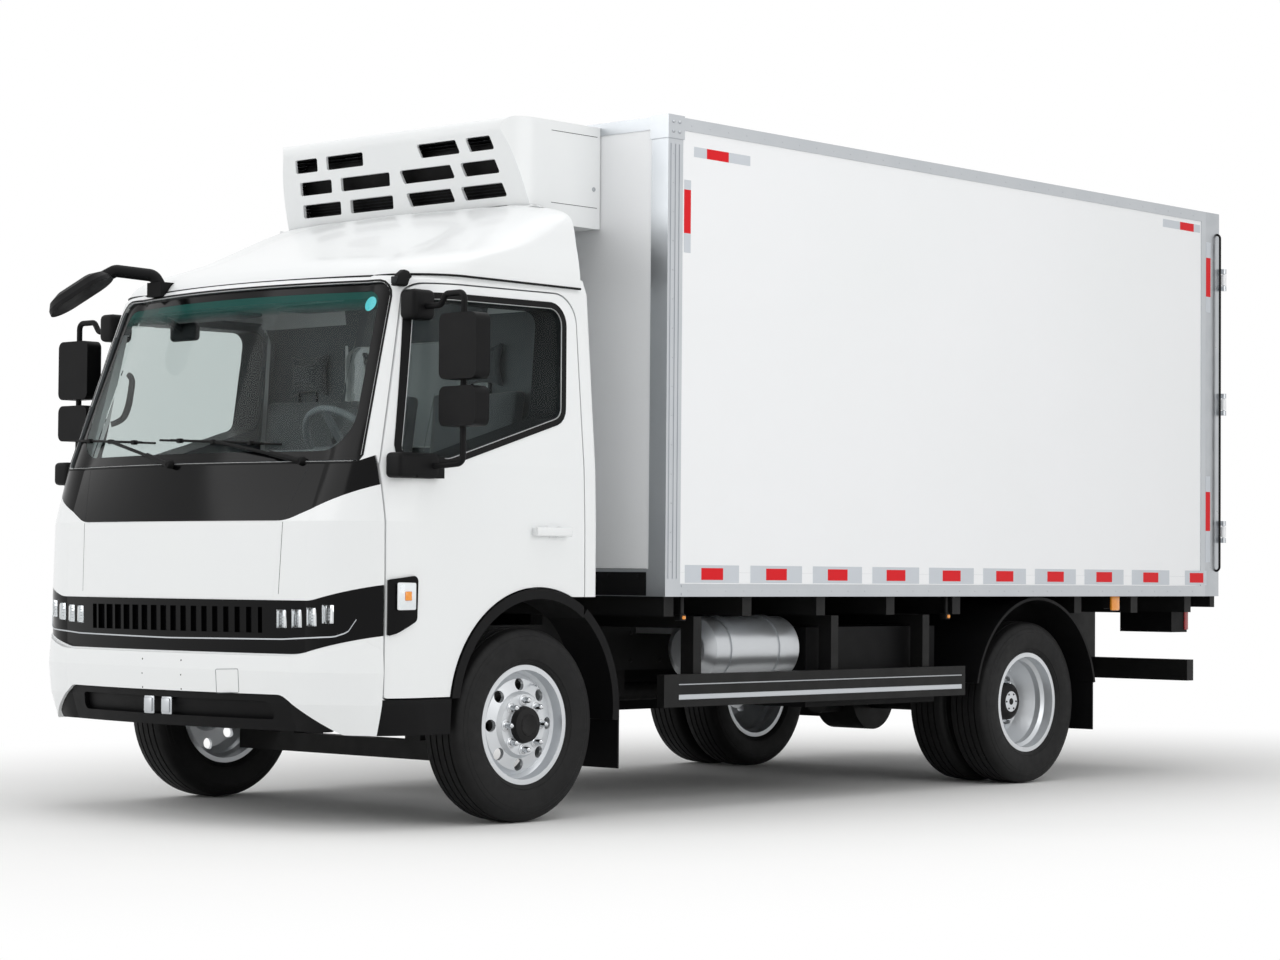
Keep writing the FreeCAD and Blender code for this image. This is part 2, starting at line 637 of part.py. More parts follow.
CAB_SECTIONS = [
    # height, setback, corner width, bow of the front, side in, corner run, share of an inset taken off the height
    (S["cab_sill"], 44, 300, 62, 0, 300, 0),
    (S["nose_bottom"], 35, 300, 62, 0, 305, 0),
    (S["band_bottom"], 45, 300, 62, 0, 300, 0),
    (S["screen_bottom"], 80, 285, 105, 6, 235, 0),
    (S["screen_top"], 330, 275, 105, 62, 215, 0.5),
    (S["screen_top"] + 58, 385, 270, 105, 85, 210, 1),
    (S["screen_top"] + 103, 480, 290, 90, 190, 200, 1),
]

BUMPER_SECTIONS = [
    (size(350), 52, 350, 62, 4, 350, 0),
    (size(480), 8, 360, 62, -4, 360, 0),
    (size(600), 0, 350, 62, -4, 350, 0),
    (size(760), 14, 350, 62, -2, 350, 0),
]

ROOF_DEPTH = float(S["cab_depth"]) - 330
DEFLECTOR_SECTIONS = [
    (size(2120), 352, 272, 105, 58, 212, 0),
    (size(2160), 383, 270, 105, 60, 210, 0),
    (size(2200), 330 + ROOF_DEPTH * 120 / 1060, 280, 108, 64, 220, 0),
    (size(2290), 330 + ROOF_DEPTH * 360 / 1060, 320, 120, 82, ROOF_DEPTH * 280 / 1060, 0),
    (size(2415), 330 + ROOF_DEPTH * 655 / 1060, 330, 110, 118, ROOF_DEPTH * 215 / 1060, 0),
    (size(2462), 330 + ROOF_DEPTH * 800 / 1060, 300, 60, 230, ROOF_DEPTH * 120 / 1060, 1),
    (size(2478), 330 + ROOF_DEPTH * 860 / 1060, 300, 40, 380, ROOF_DEPTH * 80 / 1060, 1),
]

REAR_CORNER = 24
DOORWAY_DEPTH = 200


def corner_arc(start, corner, end):
    """An arc from start to end that bulges toward their corner as a quarter circle does."""
    middle = (start + end) * 0.5
    return Part.Arc(start, middle + (corner - middle) * (math.sqrt(2) - 1), end).toShape()


def plan_wire(section, inset):
    """A level outline of the cab, moved in by inset on every side."""
    height, setback, corner_width, bow, side_in, corner_run, shrink = section
    z = float(height) - shrink * inset
    side = float(S["cab_half_width"]) - side_in - inset
    bow_x = side - corner_width + inset * 0.4
    front = float(NOSE) + setback + inset
    bow_y = front + bow
    side_y = bow_y + corner_run - inset * 0.6
    back = float(CAB_BACK) - inset
    right = [Vector(bow_x, bow_y, z), Vector(side, side_y, z), Vector(side, back - REAR_CORNER, z),
             Vector(side - REAR_CORNER, back, z)]
    left = [Vector(-p.x, p.y, z) for p in right]
    edges = [Part.Arc(left[0], Vector(0, front, z), right[0]).toShape(),
             corner_arc(right[0], Vector(side, bow_y, z), right[1]),
             Part.LineSegment(right[1], right[2]).toShape(),
             corner_arc(right[2], Vector(side, back, z), right[3]),
             Part.LineSegment(right[3], left[3]).toShape(),
             corner_arc(left[3], Vector(-side, back, z), left[2]),
             Part.LineSegment(left[2], left[1]).toShape(),
             corner_arc(left[1], Vector(-side, bow_y, z), left[0])]
    return Part.Wire(edges)


def form(sections, inset):
    """A closed body over its level sections, with straight rulings between them."""
    return Part.makeLoft([plan_wire(section, inset) for section in sections], True, True)


def door_outline(gap):
    """Edge of the cab door in (station, height, corner radius), grown by gap."""
    front, rear = DOOR_EDGE - gap, CAB_BACK - 78 + gap
    lean = NOSE + 471 - gap
    return [(front, S["cab_sill"] + 6 - gap, 12), (front + 3, S["screen_bottom"] - 16, 160),
            (lean, S["screen_top"] - 19 + gap, 70), (rear - 10, S["screen_top"] - 9 + gap, 120),
            (rear, S["cab_sill"] + 6 - gap, 12)]


def window_outline(gap):
    """Edge of the door window, grown by gap."""
    return [(NOSE + 336 - gap, S["screen_bottom"] + 24 - gap, 25),
            (NOSE + 480 - gap, S["screen_top"] - 78 + gap, 60),
            (CAB_BACK - 165 + gap, S["screen_top"] - 70 + gap, 60),
            (CAB_BACK - 200 + gap, S["screen_bottom"] + 204 - gap, 50),
            (NOSE + 560, S["screen_bottom"] + 16 - gap, 120)]


def screen_outline(gap):
    """Edge of the windscreen in (x, height, corner radius), grown by gap."""
    return both_ways([(893 + gap, S["screen_bottom"] - gap, 16), (815 + gap, S["screen_top"] - 6 + gap, 70)])


def band_outline(gap):
    """Black band under the windscreen; it narrows and rises towards the doors."""
    low, high = S["band_bottom"] + 1, S["screen_bottom"] - 8
    return both_ways([(620, low - gap, 200), (1100, low + 190 - gap, 0), (1100, high + 62 + gap, 0),
                      (960, high + 40 + gap, 60), (870, high + gap, 120)])


def nose_outline(gap):
    """White panel between the black band and the grille, between its two seams."""
    return both_ways([(574 + gap, S["nose_bottom"] - gap, 4), (610 + gap, S["band_bottom"] - 1 + gap, 4)])


def grille_outline(gap):
    """Black grille band; its ends sweep up to the doors."""
    low, high = S["bumper_top"] + 6, S["nose_bottom"] - 3
    return both_ways([(700, low - gap, 300), (1100, low + 100 - gap, 0), (1100, high + 90 + gap, 0),
                      (760, high + gap, 200)])


def bumper_outline(gap):
    """White bumper with the arch of its air intake and a lobe at each corner."""
    low, high = S["bumper_bottom"], S["bumper_top"]
    return both_ways([(640, low + 138 - gap, 70), (870, low - 8 - gap, 40), (1100, low - 14 - gap, 0),
                      (1100, high + 96 + gap, 0), (700, high + gap, 300)])


def arch_solid(radius, low, high):
    """The wheel opening with the space behind and below it, as cut out of the cab."""
    centre_y = float(FRONT_AXLE + S["arch_setback"])
    drum = Part.makeCylinder(radius, high - low, point(low, centre_y, S["arch_height"]), Vector(1, 0, 0))
    below = Part.makeBox(high - low, 2 * radius, float(S["arch_height"]), point(low, centre_y - radius, 0))
    behind = Part.makeBox(high - low, float(CAB_BACK) - centre_y + 100, float(S["cab_floor"]),
                          point(low, centre_y, 0))
    return drum.fuse(below).fuse(behind)


def mirror_x(shape):
    return shape.mirror(Vector(0, 0, 0), Vector(1, 0, 0))


def make_cab():
    """Cab shell with its panels, doors and glass, all parted out of one set of nested forms."""
    skin, wall, gap = float(S["cab_skin"]), float(S["cab_wall"]), float(S["panel_gap"])
    outer, under_skin, inner = form(CAB_SECTIONS, 0), form(CAB_SECTIONS, skin), form(CAB_SECTIONS, wall)
    face = form(CAB_SECTIONS, 0).cut(under_skin)
    door_clear = float(S["door_gap"])
    front_low, front_high = float(NOSE) - 50, float(DOOR_EDGE) - door_clear
    floor_top = S["cab_floor"] + wall
    over = float(S["cab_half_width"]) + 60

    # The front panels, each a patch of the outer skin.
    patches = {
        "nose_panel": nose_outline(-gap),
        "nose_band": band_outline(-gap),
        "grille_band": grille_outline(-gap),
    }
    panels = {name: form(CAB_SECTIONS, 0).cut(form(CAB_SECTIONS, skin - gap)).common(
        front_panel(outline, front_low, front_high)) for name, outline in patches.items()}

    # Space inside the cab: over the floor, and down into a footwell in front of each wheel.
    room = inner.cut(Part.makeBox(3000, 3000, float(floor_top), point(-1500, NOSE - 200, 0)))
    well_back = NOSE + 540
    for side in (1, -1):
        low = min(side * (S["tunnel_half_width"].value + wall), side * (S["cab_half_width"].value - wall))
        well = Part.makeBox(S["cab_half_width"].value - S["tunnel_half_width"].value - 2 * wall,
                            float(well_back - NOSE), float(floor_top - S["cab_sill"]) - wall + 1,
                            point(low, NOSE, S["cab_sill"] + wall))
        room = room.fuse(well.common(inner))
    shell = outer.cut(room)
    for name, outline in (("nose", nose_outline(0)), ("band", band_outline(0)), ("grille", grille_outline(0))):
        shell = shell.cut(face.common(front_panel(outline, front_low, front_high + door_clear)))
    shell = shell.cut(front_panel(screen_outline(0), NOSE - 50, NOSE + 700))
    tunnel = Part.makeBox(2 * S["tunnel_half_width"].value, float(CAB_BACK - NOSE), float(S["cab_floor"]),
                          point(-S["tunnel_half_width"], NOSE + 150, 0))
    shell = shell.cut(tunnel)
    for side in (1, -1):
        arch = arch_solid(S["arch_radius"].value, S["tunnel_half_width"].value - 1, over)
        doorway = side_panel(door_outline(door_clear), S["cab_half_width"] - DOORWAY_DEPTH, over)
        for tool in (arch, doorway):
            shell = shell.cut(tool if side > 0 else mirror_x(tool))
    rear_window = front_panel(both_ways([(430, 1510, 60), (430, 1950, 60)]), CAB_BACK - 200, CAB_BACK + 50)
    shell = shell.cut(rear_window)
    ears = []
    half = S["rail_spacing"].value / 2
    for side in (1, -1):
        low = min(side * (half - 8), side * (half + 16))
        ear = Part.makeBox(24, float(PIVOT_Y - NOSE) - 60, 220, point(low, NOSE + 95, S["pivot_height"] - 36))
        bore = Part.makeCylinder(S["pivot_radius"].value + 0.5, 100, point(low - 30, PIVOT_Y, S["pivot_height"]),
                                 Vector(1, 0, 0))
        eye = Part.makeCylinder(38, 24, point(low, PIVOT_Y, S["pivot_height"]), Vector(1, 0, 0))
        ears.append(ear.fuse(eye).cut(bore))
    beam = Part.makeBox(2 * half + 60, 60, 90, point(-half - 30, NOSE + 84, S["cab_sill"] + 60))
    shell = shell.fuse([beam.common(outer)] + ears).removeSplitter()
    publish(shaped("cab_shell_form", shell), "cab_shell")

    glass_out, glass_in = S["glass_inset"].value, (S["glass_inset"] + S["glass_thickness"]).value
    glazing = form(CAB_SECTIONS, glass_out).cut(form(CAB_SECTIONS, glass_in))
    screen = glazing.common(front_panel(screen_outline(-gap), NOSE - 50, NOSE + 700))
    back_glass = front_panel(both_ways([(430 - gap, 1510 + gap, 60), (430 - gap, 1950 - gap, 60)]),
                             CAB_BACK - wall / 2 - 3, CAB_BACK - wall / 2 + 3)
    publish(shaped("cab_glass_panes", Part.makeCompound([screen, back_glass])), "cab_glass")
    publish(shaped("nose_panel_form", panels["nose_panel"]), "nose_panel")
    publish(shaped("nose_band_form", panels["nose_band"]), "nose_band")
    make_grille(panels["grille_band"])
    make_bumper()
    make_doors(outer, glazing)
    make_lower_trim()
    make_deflector()
    make_kerb_mirror()
    make_interior()


def oval(half_long, half_short, level):
    """A level outline with two full round ends along X."""
    straight = half_long - half_short
    ends = [Vector(straight, -half_short, level), Vector(straight, half_short, level),
            Vector(-straight, half_short, level), Vector(-straight, -half_short, level)]
    return Part.Wire([Part.Arc(ends[0], Vector(half_long, 0, level), ends[1]).toShape(),
                      Part.LineSegment(ends[1], ends[2]).toShape(),
                      Part.Arc(ends[2], Vector(-half_long, 0, level), ends[3]).toShape(),
                      Part.LineSegment(ends[3], ends[0]).toShape()])


def make_kerb_mirror():
    """Down-looking domed mirror on a thick bent arm at the passenger side of the roof edge."""
    foot = Part.makeBox(90, 90, 60, point(-585, NOSE + 372, 2106))
    arm = bent_tube([point(-540, NOSE + 420, 2130), point(-560, NOSE + 388, 2196), point(-640, NOSE + 250, 2210),
                     point(-690, NOSE + 160, 2150)], 26, 40)
    dome = Part.makeLoft([oval(150, 92, 0), oval(147, 89, 18), oval(128, 70, 44), oval(84, 30, 62)], True, True)
    dome.Placement = FreeCAD.Placement(point(-712, NOSE + 138, 2096), FreeCAD.Rotation(38, -33, 0))
    whole = foot.fuse([arm, dome]).cut(form(CAB_SECTIONS, -S["panel_gap"].value))
    whole = whole.cut(form(DEFLECTOR_SECTIONS, -S["panel_gap"].value))
    whole = max(whole.removeSplitter().Solids, key=lambda solid: solid.Volume)
    publish(shaped("kerb_mirror_form", whole), "kerb_mirror")


def make_grille(band):
    """Grille band: a slot full of upright ribs between two groups of four lamps."""
    low, high = S["nose_bottom"] - 128, S["nose_bottom"] - 30
    slot_half, rib_count = 520, 17
    slot = Part.makeBox(2 * slot_half, 200, float(high - low), point(-slot_half, NOSE - 60, low))
    keep = form(CAB_SECTIONS, 17)
    slot = slot.cut(keep)
    band = band.cut(slot)
    ribs = []
    skin = form(CAB_SECTIONS, 3).cut(form(CAB_SECTIONS, 18))
    for index in range(rib_count):
        x = -slot_half + (index + 0.5) * 2 * slot_half / rib_count
        ribs.append(Part.makeBox(12, 200, float(high - low) + 2, point(x - 6, NOSE - 60, low - 1)).common(skin))
    lamps = []
    lamp_wide, lamp_high = 44, 70
    lamp_skin = form(CAB_SECTIONS, -1).cut(form(CAB_SECTIONS, 14))
    pocket_floor = form(CAB_SECTIONS, 14.4)
    for side in (1, -1):
        for index in range(4):
            x, foot = side * (616 + index * 73), low + 20 + index * index * 2.2
            lamp = Part.makeBox(lamp_wide, 200, lamp_high, point(x - lamp_wide / 2, NOSE - 60, foot))
            lamps.append(lamp.common(lamp_skin))
            pocket = Part.makeBox(lamp_wide + 1, 260, lamp_high + 1, point(x - lamp_wide / 2 - 0.5, NOSE - 60, foot - 0.5))
            band = band.cut(pocket.cut(pocket_floor))
    publish(shaped("grille_form", band.fuse(ribs).removeSplitter()), "grille_band")
    publish(shaped("lamp_form", Part.makeCompound(lamps)), "headlamps")


def make_bumper():
    """White bumper with plate holes, and the black intake with its lip under it."""
    gap = S["panel_gap"].value
    low, high = float(NOSE) - 50, (DOOR_EDGE - S["door_gap"]).value
    cab = form(CAB_SECTIONS, -gap)
    shell = form(BUMPER_SECTIONS, 0).cut(form(BUMPER_SECTIONS, 36)).cut(cab)
    bumper = shell.common(front_panel(bumper_outline(-gap), low, high))
    for x in (-118.5, 118.5):
        for z in (520, 631):
            bumper = bumper.cut(Part.makeCylinder(3.5, 200, point(x, NOSE - 60, z), Vector(0, 1, 0)))
    publish(shaped("bumper_form", bumper.removeSplitter()), "front_bumper")
    bottom = S["bumper_bottom"].value
    intake = form(BUMPER_SECTIONS, 12).cut(form(BUMPER_SECTIONS, 34)).cut(cab).common(front_panel(
        both_ways([(868, bottom, 20), (640, bottom + 145, 60)]), low, high))
    intake = intake.cut(front_panel(bumper_outline(0), low, high))
    mouth = front_panel(both_ways([(590, bottom + 42, 20), (560, bottom + 112, 20)]), low, high)
    intake = intake.cut(mouth.cut(form(BUMPER_SECTIONS, 33)))
    publish(shaped("intake_form", intake.removeSplitter()), "bumper_intake")


def make_doors(outer, glazing):
    """Cab doors the full thickness of the side, with window cut, handle and glass."""
    thick, gap = S["door_thickness"].value, S["panel_gap"].value
    skin = outer.cut(form(CAB_SECTIONS, thick))
    near, over = S["cab_half_width"].value - DOORWAY_DEPTH, S["cab_half_width"].value + 60
    door = skin.common(side_panel(door_outline(0), near, over))
    door = door.cut(arch_solid((S["arch_radius"] + S["flare_width"] + S["door_gap"]).value, near, over))
    door = door.cut(side_panel(window_outline(0), near, over))
    handle_y, handle_z, handle_x = NOSE + 1105, 1142, S["cab_half_width"]
    grip = Part.makeBox(22, 190, 26, point(handle_x + 10, handle_y - 95, handle_z - 13))
    feet = [Part.makeBox(22, 26, 26, point(handle_x - 8, handle_y + place, handle_z - 13)) for place in (-95, 69)]
    door = door.fuse([grip] + feet).removeSplitter()
    glass = glazing.common(side_panel(window_outline(-gap), near, over))
    for side, word in ((1, "left"), (-1, "right")):
        publish(shaped(f"door_{word}_form", door if side > 0 else mirror_x(door)), f"door_{word}")
        publish(shaped(f"door_glass_{word}_form", glass if side > 0 else mirror_x(glass)), f"door_glass_{word}")
        fittings = door_fittings()
        publish(shaped(f"mirrors_{word}_form", fittings if side > 0 else mirror_x(fittings)), f"mirrors_{word}")


def bent_tube(points, radius, bend):
    """A round tube through points, straight between tangent bends."""
    edges = []
    start = points[0]
    for index in range(1, len(points) - 1):
        corner = points[index]
        back = (points[index - 1] - corner).normalize()
        onward = (points[index + 1] - corner).normalize()
        half = back.getAngle(onward) / 2
        reach = bend / math.tan(half)
        middle = (back + onward).normalize()
        entry, leave = corner + back * reach, corner + onward * reach
        edges.append(Part.LineSegment(start, entry).toShape())
        edges.append(Part.Arc(entry, corner + middle * (bend / math.sin(half) - bend), leave).toShape())
        start = leave
    edges.append(Part.LineSegment(start, points[-1]).toShape())
    ring = Part.Wire([Part.Circle(points[0], points[1] - points[0], radius).toShape()])
    return Part.Wire(edges).makePipeShell([ring], True, False)


def door_fittings():
    """Mirror tube from two brackets on the door, with a large and a small mirror head."""
    y, tube_x = NOSE + 480, S["cab_half_width"] + 148
    arm_z, loop_z, foot_z = 1992, 2034, 1390
    path = [point(S["cab_half_width"] - 110, y + 6, arm_z), point(S["cab_half_width"] + 18, y + 3, arm_z),
            point(S["cab_half_width"] + 48, y + 2, loop_z), point(tube_x, y, loop_z),
            point(tube_x, y, foot_z), point(S["cab_half_width"] + 2, y - 50, foot_z - 14)]
    tube = bent_tube(path, 12, 26)
    foot = Part.makeBox(70, 140, 84, point(S["cab_half_width"] - 36, y - 124, 1334))
    upper = Part.makeBox(70, 96, 96, point(S["cab_half_width"] - 140, y - 50, arm_z - 40))
    heads = [head_block(tube_x, y, low, high, wide) for low, high, wide in ((1706, 1956, 200), (1528, 1680, 196))]
    whole = tube.fuse([foot, upper] + heads).cut(form(CAB_SECTIONS, -S["panel_gap"].value))
    return max(whole.removeSplitter().Solids, key=lambda solid: solid.Volume)


def head_block(x, y, low, high, wide):
    """A mirror head with rounded corners and a slightly domed front."""
    near, far = x - wide / 2, x + wide / 2
    corners = [(near, size(low), 30), (near, size(high), 30), (far, size(high), 30), (far, size(low), 30)]
    face = outline_face(corners, lambda p: Vector(p.x, float(y) - 34, p.y))
    return face.extrude(Vector(0, 74, 0))


def make_lower_trim():
    """Black steps under the doors and the flares round the wheel openings."""
    inside, outside = 760, S["cab_half_width"].value
    radius = S["arch_radius"].value
    flare_radius = radius + S["flare_width"].value
    centre = (FRONT_AXLE + S["arch_setback"]).value
    solids = []
    sill = S["cab_sill"].value
    step_top = sill - S["panel_gap"].value
    step = Part.makeBox(outside - inside, 318, step_top - 364, point(inside, DOOR_EDGE, 364))
    step = step.common(form(BUMPER_SECTIONS, 6))
    near = outside - DOORWAY_DEPTH + S["panel_gap"].value
    ring = Part.makeCylinder(flare_radius, outside + 8 - near, point(near, centre, S["arch_height"]),
                             Vector(1, 0, 0))
    ring = ring.cut(Part.makeCylinder(radius, 300, point(near - 10, centre, S["arch_height"]), Vector(1, 0, 0)))
    axle_to_rear_end = 280
    front_end, rear_end = centre - flare_radius - 10, float(FRONT_AXLE) + axle_to_rear_end
    ring = ring.common(Part.makeBox(300, rear_end - front_end, 600, point(near - 10, front_end, sill)))
    for side in (1, -1):
        for shape in (step, ring):
            solids.append(shape if side > 0 else mirror_x(shape))
    publish(shaped("lower_trim_form", Part.makeCompound(solids)), "lower_trim")


def make_deflector():
    """Roof air deflector: a shell open below and at the rear; its ends reach back beside the cooling unit."""
    wall, over = 12, 1200
    ends_rear, middle_rear = float(CAB_BACK) - 55, float(CAB_BACK) - 135
    unit_half = S["reefer_width"].value / 2 + 26
    shell = form(DEFLECTOR_SECTIONS, 0).cut(form(DEFLECTOR_SECTIONS, wall))
    shell = shell.cut(form(CAB_SECTIONS, -S["panel_gap"].value))
    shell = shell.cut(Part.makeBox(2 * over, 400, over, point(-over, ends_rear, 2000)))
    shell = shell.cut(Part.makeBox(2 * unit_half, 400, over, point(-unit_half, middle_rear, 2000)))
    shell = max(shell.Solids, key=lambda solid: solid.Volume)
    publish(shaped("deflector_form", shell), "roof_deflector")


def make_interior():
    """Dashboard, steering wheel and seats."""
    dash = side_panel([(NOSE + 100, S["cab_floor"] + 46, 0), (NOSE + 100, S["screen_bottom"] - 26, 0),
                       (NOSE + 330, S["screen_bottom"] + 4, 40), (NOSE + 500, S["screen_bottom"] - 36, 60),
                       (NOSE + 520, S["screen_bottom"] - 170, 40), (NOSE + 400, S["screen_bottom"] - 240, 20),
                       (NOSE + 360, S["cab_floor"] + 46, 0)], -960, 960)
    dash = dash.common(form(CAB_SECTIONS, S["cab_wall"].value + 0.5))
    doorway = side_panel(door_outline(S["door_gap"] + 2), S["cab_half_width"] - DOORWAY_DEPTH - 8, 1100)
    dash = dash.cut(doorway).cut(mirror_x(doorway))
    publish(shaped("dashboard_form", dash.removeSplitter()), "dashboard")
    hub = point(400, NOSE + 600, S["screen_bottom"] + 64)
    turn = FreeCAD.Placement(hub, FreeCAD.Rotation(Vector(1, 0, 0), -52))
    ring = Part.makeTorus(200, 15)
    boss = Part.makeCylinder(52, 40, Vector(0, 0, -34))
    column = Part.makeCylinder(36, 190, Vector(0, 0, -220))
    spokes = [Part.makeBox(192, 34, 16, Vector(0, -17, -12)), Part.makeBox(192, 34, 16, Vector(-192, -17, -12)),
              Part.makeBox(34, 192, 16, Vector(-17, -192, -12))]
    wheel = ring.fuse([boss, column] + spokes)
    wheel.Placement = turn
    wheel = wheel.cut(dash.translated(Vector(0, S["panel_gap"].value, S["panel_gap"].value)))
    wheel = max(wheel.Solids, key=lambda solid: solid.Volume)
    publish(shaped("steering_wheel_form", wheel), "steering_wheel")
    floor_top = S["cab_floor"] + S["cab_wall"]
    seats = []
    for low, high, heads in ((190, 690, 1), (-860, 60, 2)):
        wide = high - low
        front = CAB_BACK - 630
        base = Part.makeBox(wide - 60, 420, float(1130 - floor_top), point(low + 30, front + 40, floor_top))
        cushion = Part.makeBox(wide, 500, 140, point(low, front, 1130))
        back = side_panel([(front + 440, 1240, 20), (front + 500, 1720, 28), (front + 580, 1720, 28),
                           (front + 570, 1240, 20)], low, high)
        solids = [cushion, back]
        for index in range(heads):
            middle = low + wide * (index + 0.5) / heads
            solids.append(Part.makeBox(240, 70, 190, point(middle - 120, front + 510, 1740)))
            solids.append(Part.makeBox(60, 24, 40, point(middle - 30, front + 530, 1710)))
        seats.append(base.fuse(solids).removeSplitter())
    publish(shaped("seats_pair", Part.makeCompound(seats)), "seats")


# ---------------------------------------------------------------- cargo box

PANEL_SIDE = BOX_SIDE - S["trim_thickness"]
PANEL_FRONT = BOX_FRONT + S["trim_thickness"]
PANEL_TOP = BOX_TOP - S["trim_thickness"]
FRAME_FRONT = BOX_REAR - S["frame_depth"]
DOOR_LOW = S["box_bottom"] + 110
DOOR_HIGH = BOX_TOP - S["frame_face"]


def make_box():
    """Insulated panels, aluminium edge trim, corner castings and the tail frame."""
    publish(block("floor_panel", (-PANEL_SIDE, PANEL_SIDE), (PANEL_FRONT, FRAME_FRONT),
                  (S["box_bottom"], S["box_bottom"] + S["box_floor"])), "cargo_floor")
    wall_low, wall_high = S["box_bottom"] + S["box_floor"], PANEL_TOP - S["box_roof"]
    clear = PANEL_SIDE - S["box_wall"]
    side_wall = block("side_panel_left", (clear, PANEL_SIDE), (PANEL_FRONT, FRAME_FRONT), (wall_low, wall_high))
    publish(both_sides("side_panels", side_wall), "cargo_side_walls")
    publish(block("front_panel", (-clear, clear), (PANEL_FRONT, PANEL_FRONT + S["box_wall"]),
                  (wall_low, wall_high)), "cargo_wall_front")
    publish(block("roof_panel", (-PANEL_SIDE, PANEL_SIDE), (PANEL_FRONT, FRAME_FRONT),
                  (wall_high, PANEL_TOP)), "cargo_roof")

    cage = block("trim_outside", (-BOX_SIDE, BOX_SIDE), (BOX_FRONT, FRAME_FRONT), (S["box_bottom"], BOX_TOP))
    post, rail = S["post_width"], S["rail_height"]
    voids = [
        block("trim_inside", (-PANEL_SIDE, PANEL_SIDE), (PANEL_FRONT, FRAME_FRONT + 1),
              (S["box_bottom"] - 1, PANEL_TOP)),
        block("trim_side_window", (-BOX_SIDE - 1, BOX_SIDE + 1), (BOX_FRONT + post, FRAME_FRONT - 40),
              (S["box_bottom"] + rail, BOX_TOP - rail)),
        block("trim_front_window", (-BOX_SIDE + post, BOX_SIDE - post), (BOX_FRONT - 1, PANEL_FRONT + 1),
              (S["box_bottom"] + rail + 60, BOX_TOP - rail)),
        block("trim_top_window", (-BOX_SIDE + rail, BOX_SIDE - rail), (BOX_FRONT + rail, FRAME_FRONT - 40),
              (PANEL_TOP - 1, BOX_TOP + 1)),
    ]
    publish(cut("edge_trim", cage, voids), "box_edge_trim")

    castings = []
    size_side, size_high, proud = 96, 92, 5
    for side, word in ((1, "left"), (-1, "right")):
        span = ordered(side * (BOX_SIDE - size_side), side * (BOX_SIDE + proud))
        inner_span = ordered(side * (BOX_SIDE - size_side - 1), side * (BOX_SIDE + S["panel_gap"]))
        solid = block(f"casting_{word}", span, (BOX_FRONT - proud, BOX_FRONT + size_side),
                      (BOX_TOP - size_high, BOX_TOP + proud))
        void = block(f"casting_void_{word}", inner_span,
                     (BOX_FRONT - S["panel_gap"], BOX_FRONT + size_side + 1),
                     (BOX_TOP - size_high - 1, BOX_TOP + S["panel_gap"]))
        castings.append(cut(f"casting_cap_{word}", solid, [void]))
    publish(join("castings_pair", castings), "corner_castings")

    frame = block("tail_frame_block", (-BOX_SIDE, BOX_SIDE), (FRAME_FRONT, BOX_REAR), (S["box_bottom"], BOX_TOP))
    jamb = BOX_SIDE - S["frame_face"]
    doorway = block("tail_doorway", (-jamb, jamb), (FRAME_FRONT - 1, BOX_REAR + 1), (DOOR_LOW, DOOR_HIGH))
    sill_clear = block("tail_sill_back", (-clear, clear), (FRAME_FRONT - 1, FRAME_FRONT + 26),
                       (S["box_bottom"] + S["box_floor"], DOOR_LOW + 1))
    brackets = []
    pin_x, pin_y = BOX_SIDE + S["cargo_hinge_offset"], BOX_REAR + S["cargo_hinge_offset"]
    barrel_radius, pin_radius, half = S["hinge_radius"], 6, 30
    for height in hinge_heights():
        for side, word in ((1, "left"), (-1, "right")):
            tag = f"{word}_{int(float(height))}"
            brackets.append(rod(f"hinge_pin_{tag}", "z", pin_radius, height - half - 26, height + half + 26,
                                (side * pin_x, pin_y)))
            for step, place in ((1, "top"), (-1, "bottom")):
                near, far = height + step * (half + 2), height + step * (half + 26)
                span = ordered(near, far)
                brackets.append(rod(f"hinge_knuckle_{tag}_{place}", "z", barrel_radius, *span,
                                    (side * pin_x, pin_y)))
                brackets.append(block(f"hinge_ear_{tag}_{place}",
                                      ordered(side * (BOX_SIDE - 40), side * pin_x),
                                      (BOX_REAR - 1, pin_y), span))
    publish(cut("tail_frame_cut", join("tail_frame_whole", [frame] + brackets), [doorway, sill_clear]),
            "tail_frame")


def hinge_heights():
    """Middle heights of the three hinges on each cargo door."""
    return [S["box_bottom"] + 330, S["box_bottom"] + 985, BOX_TOP - 340]


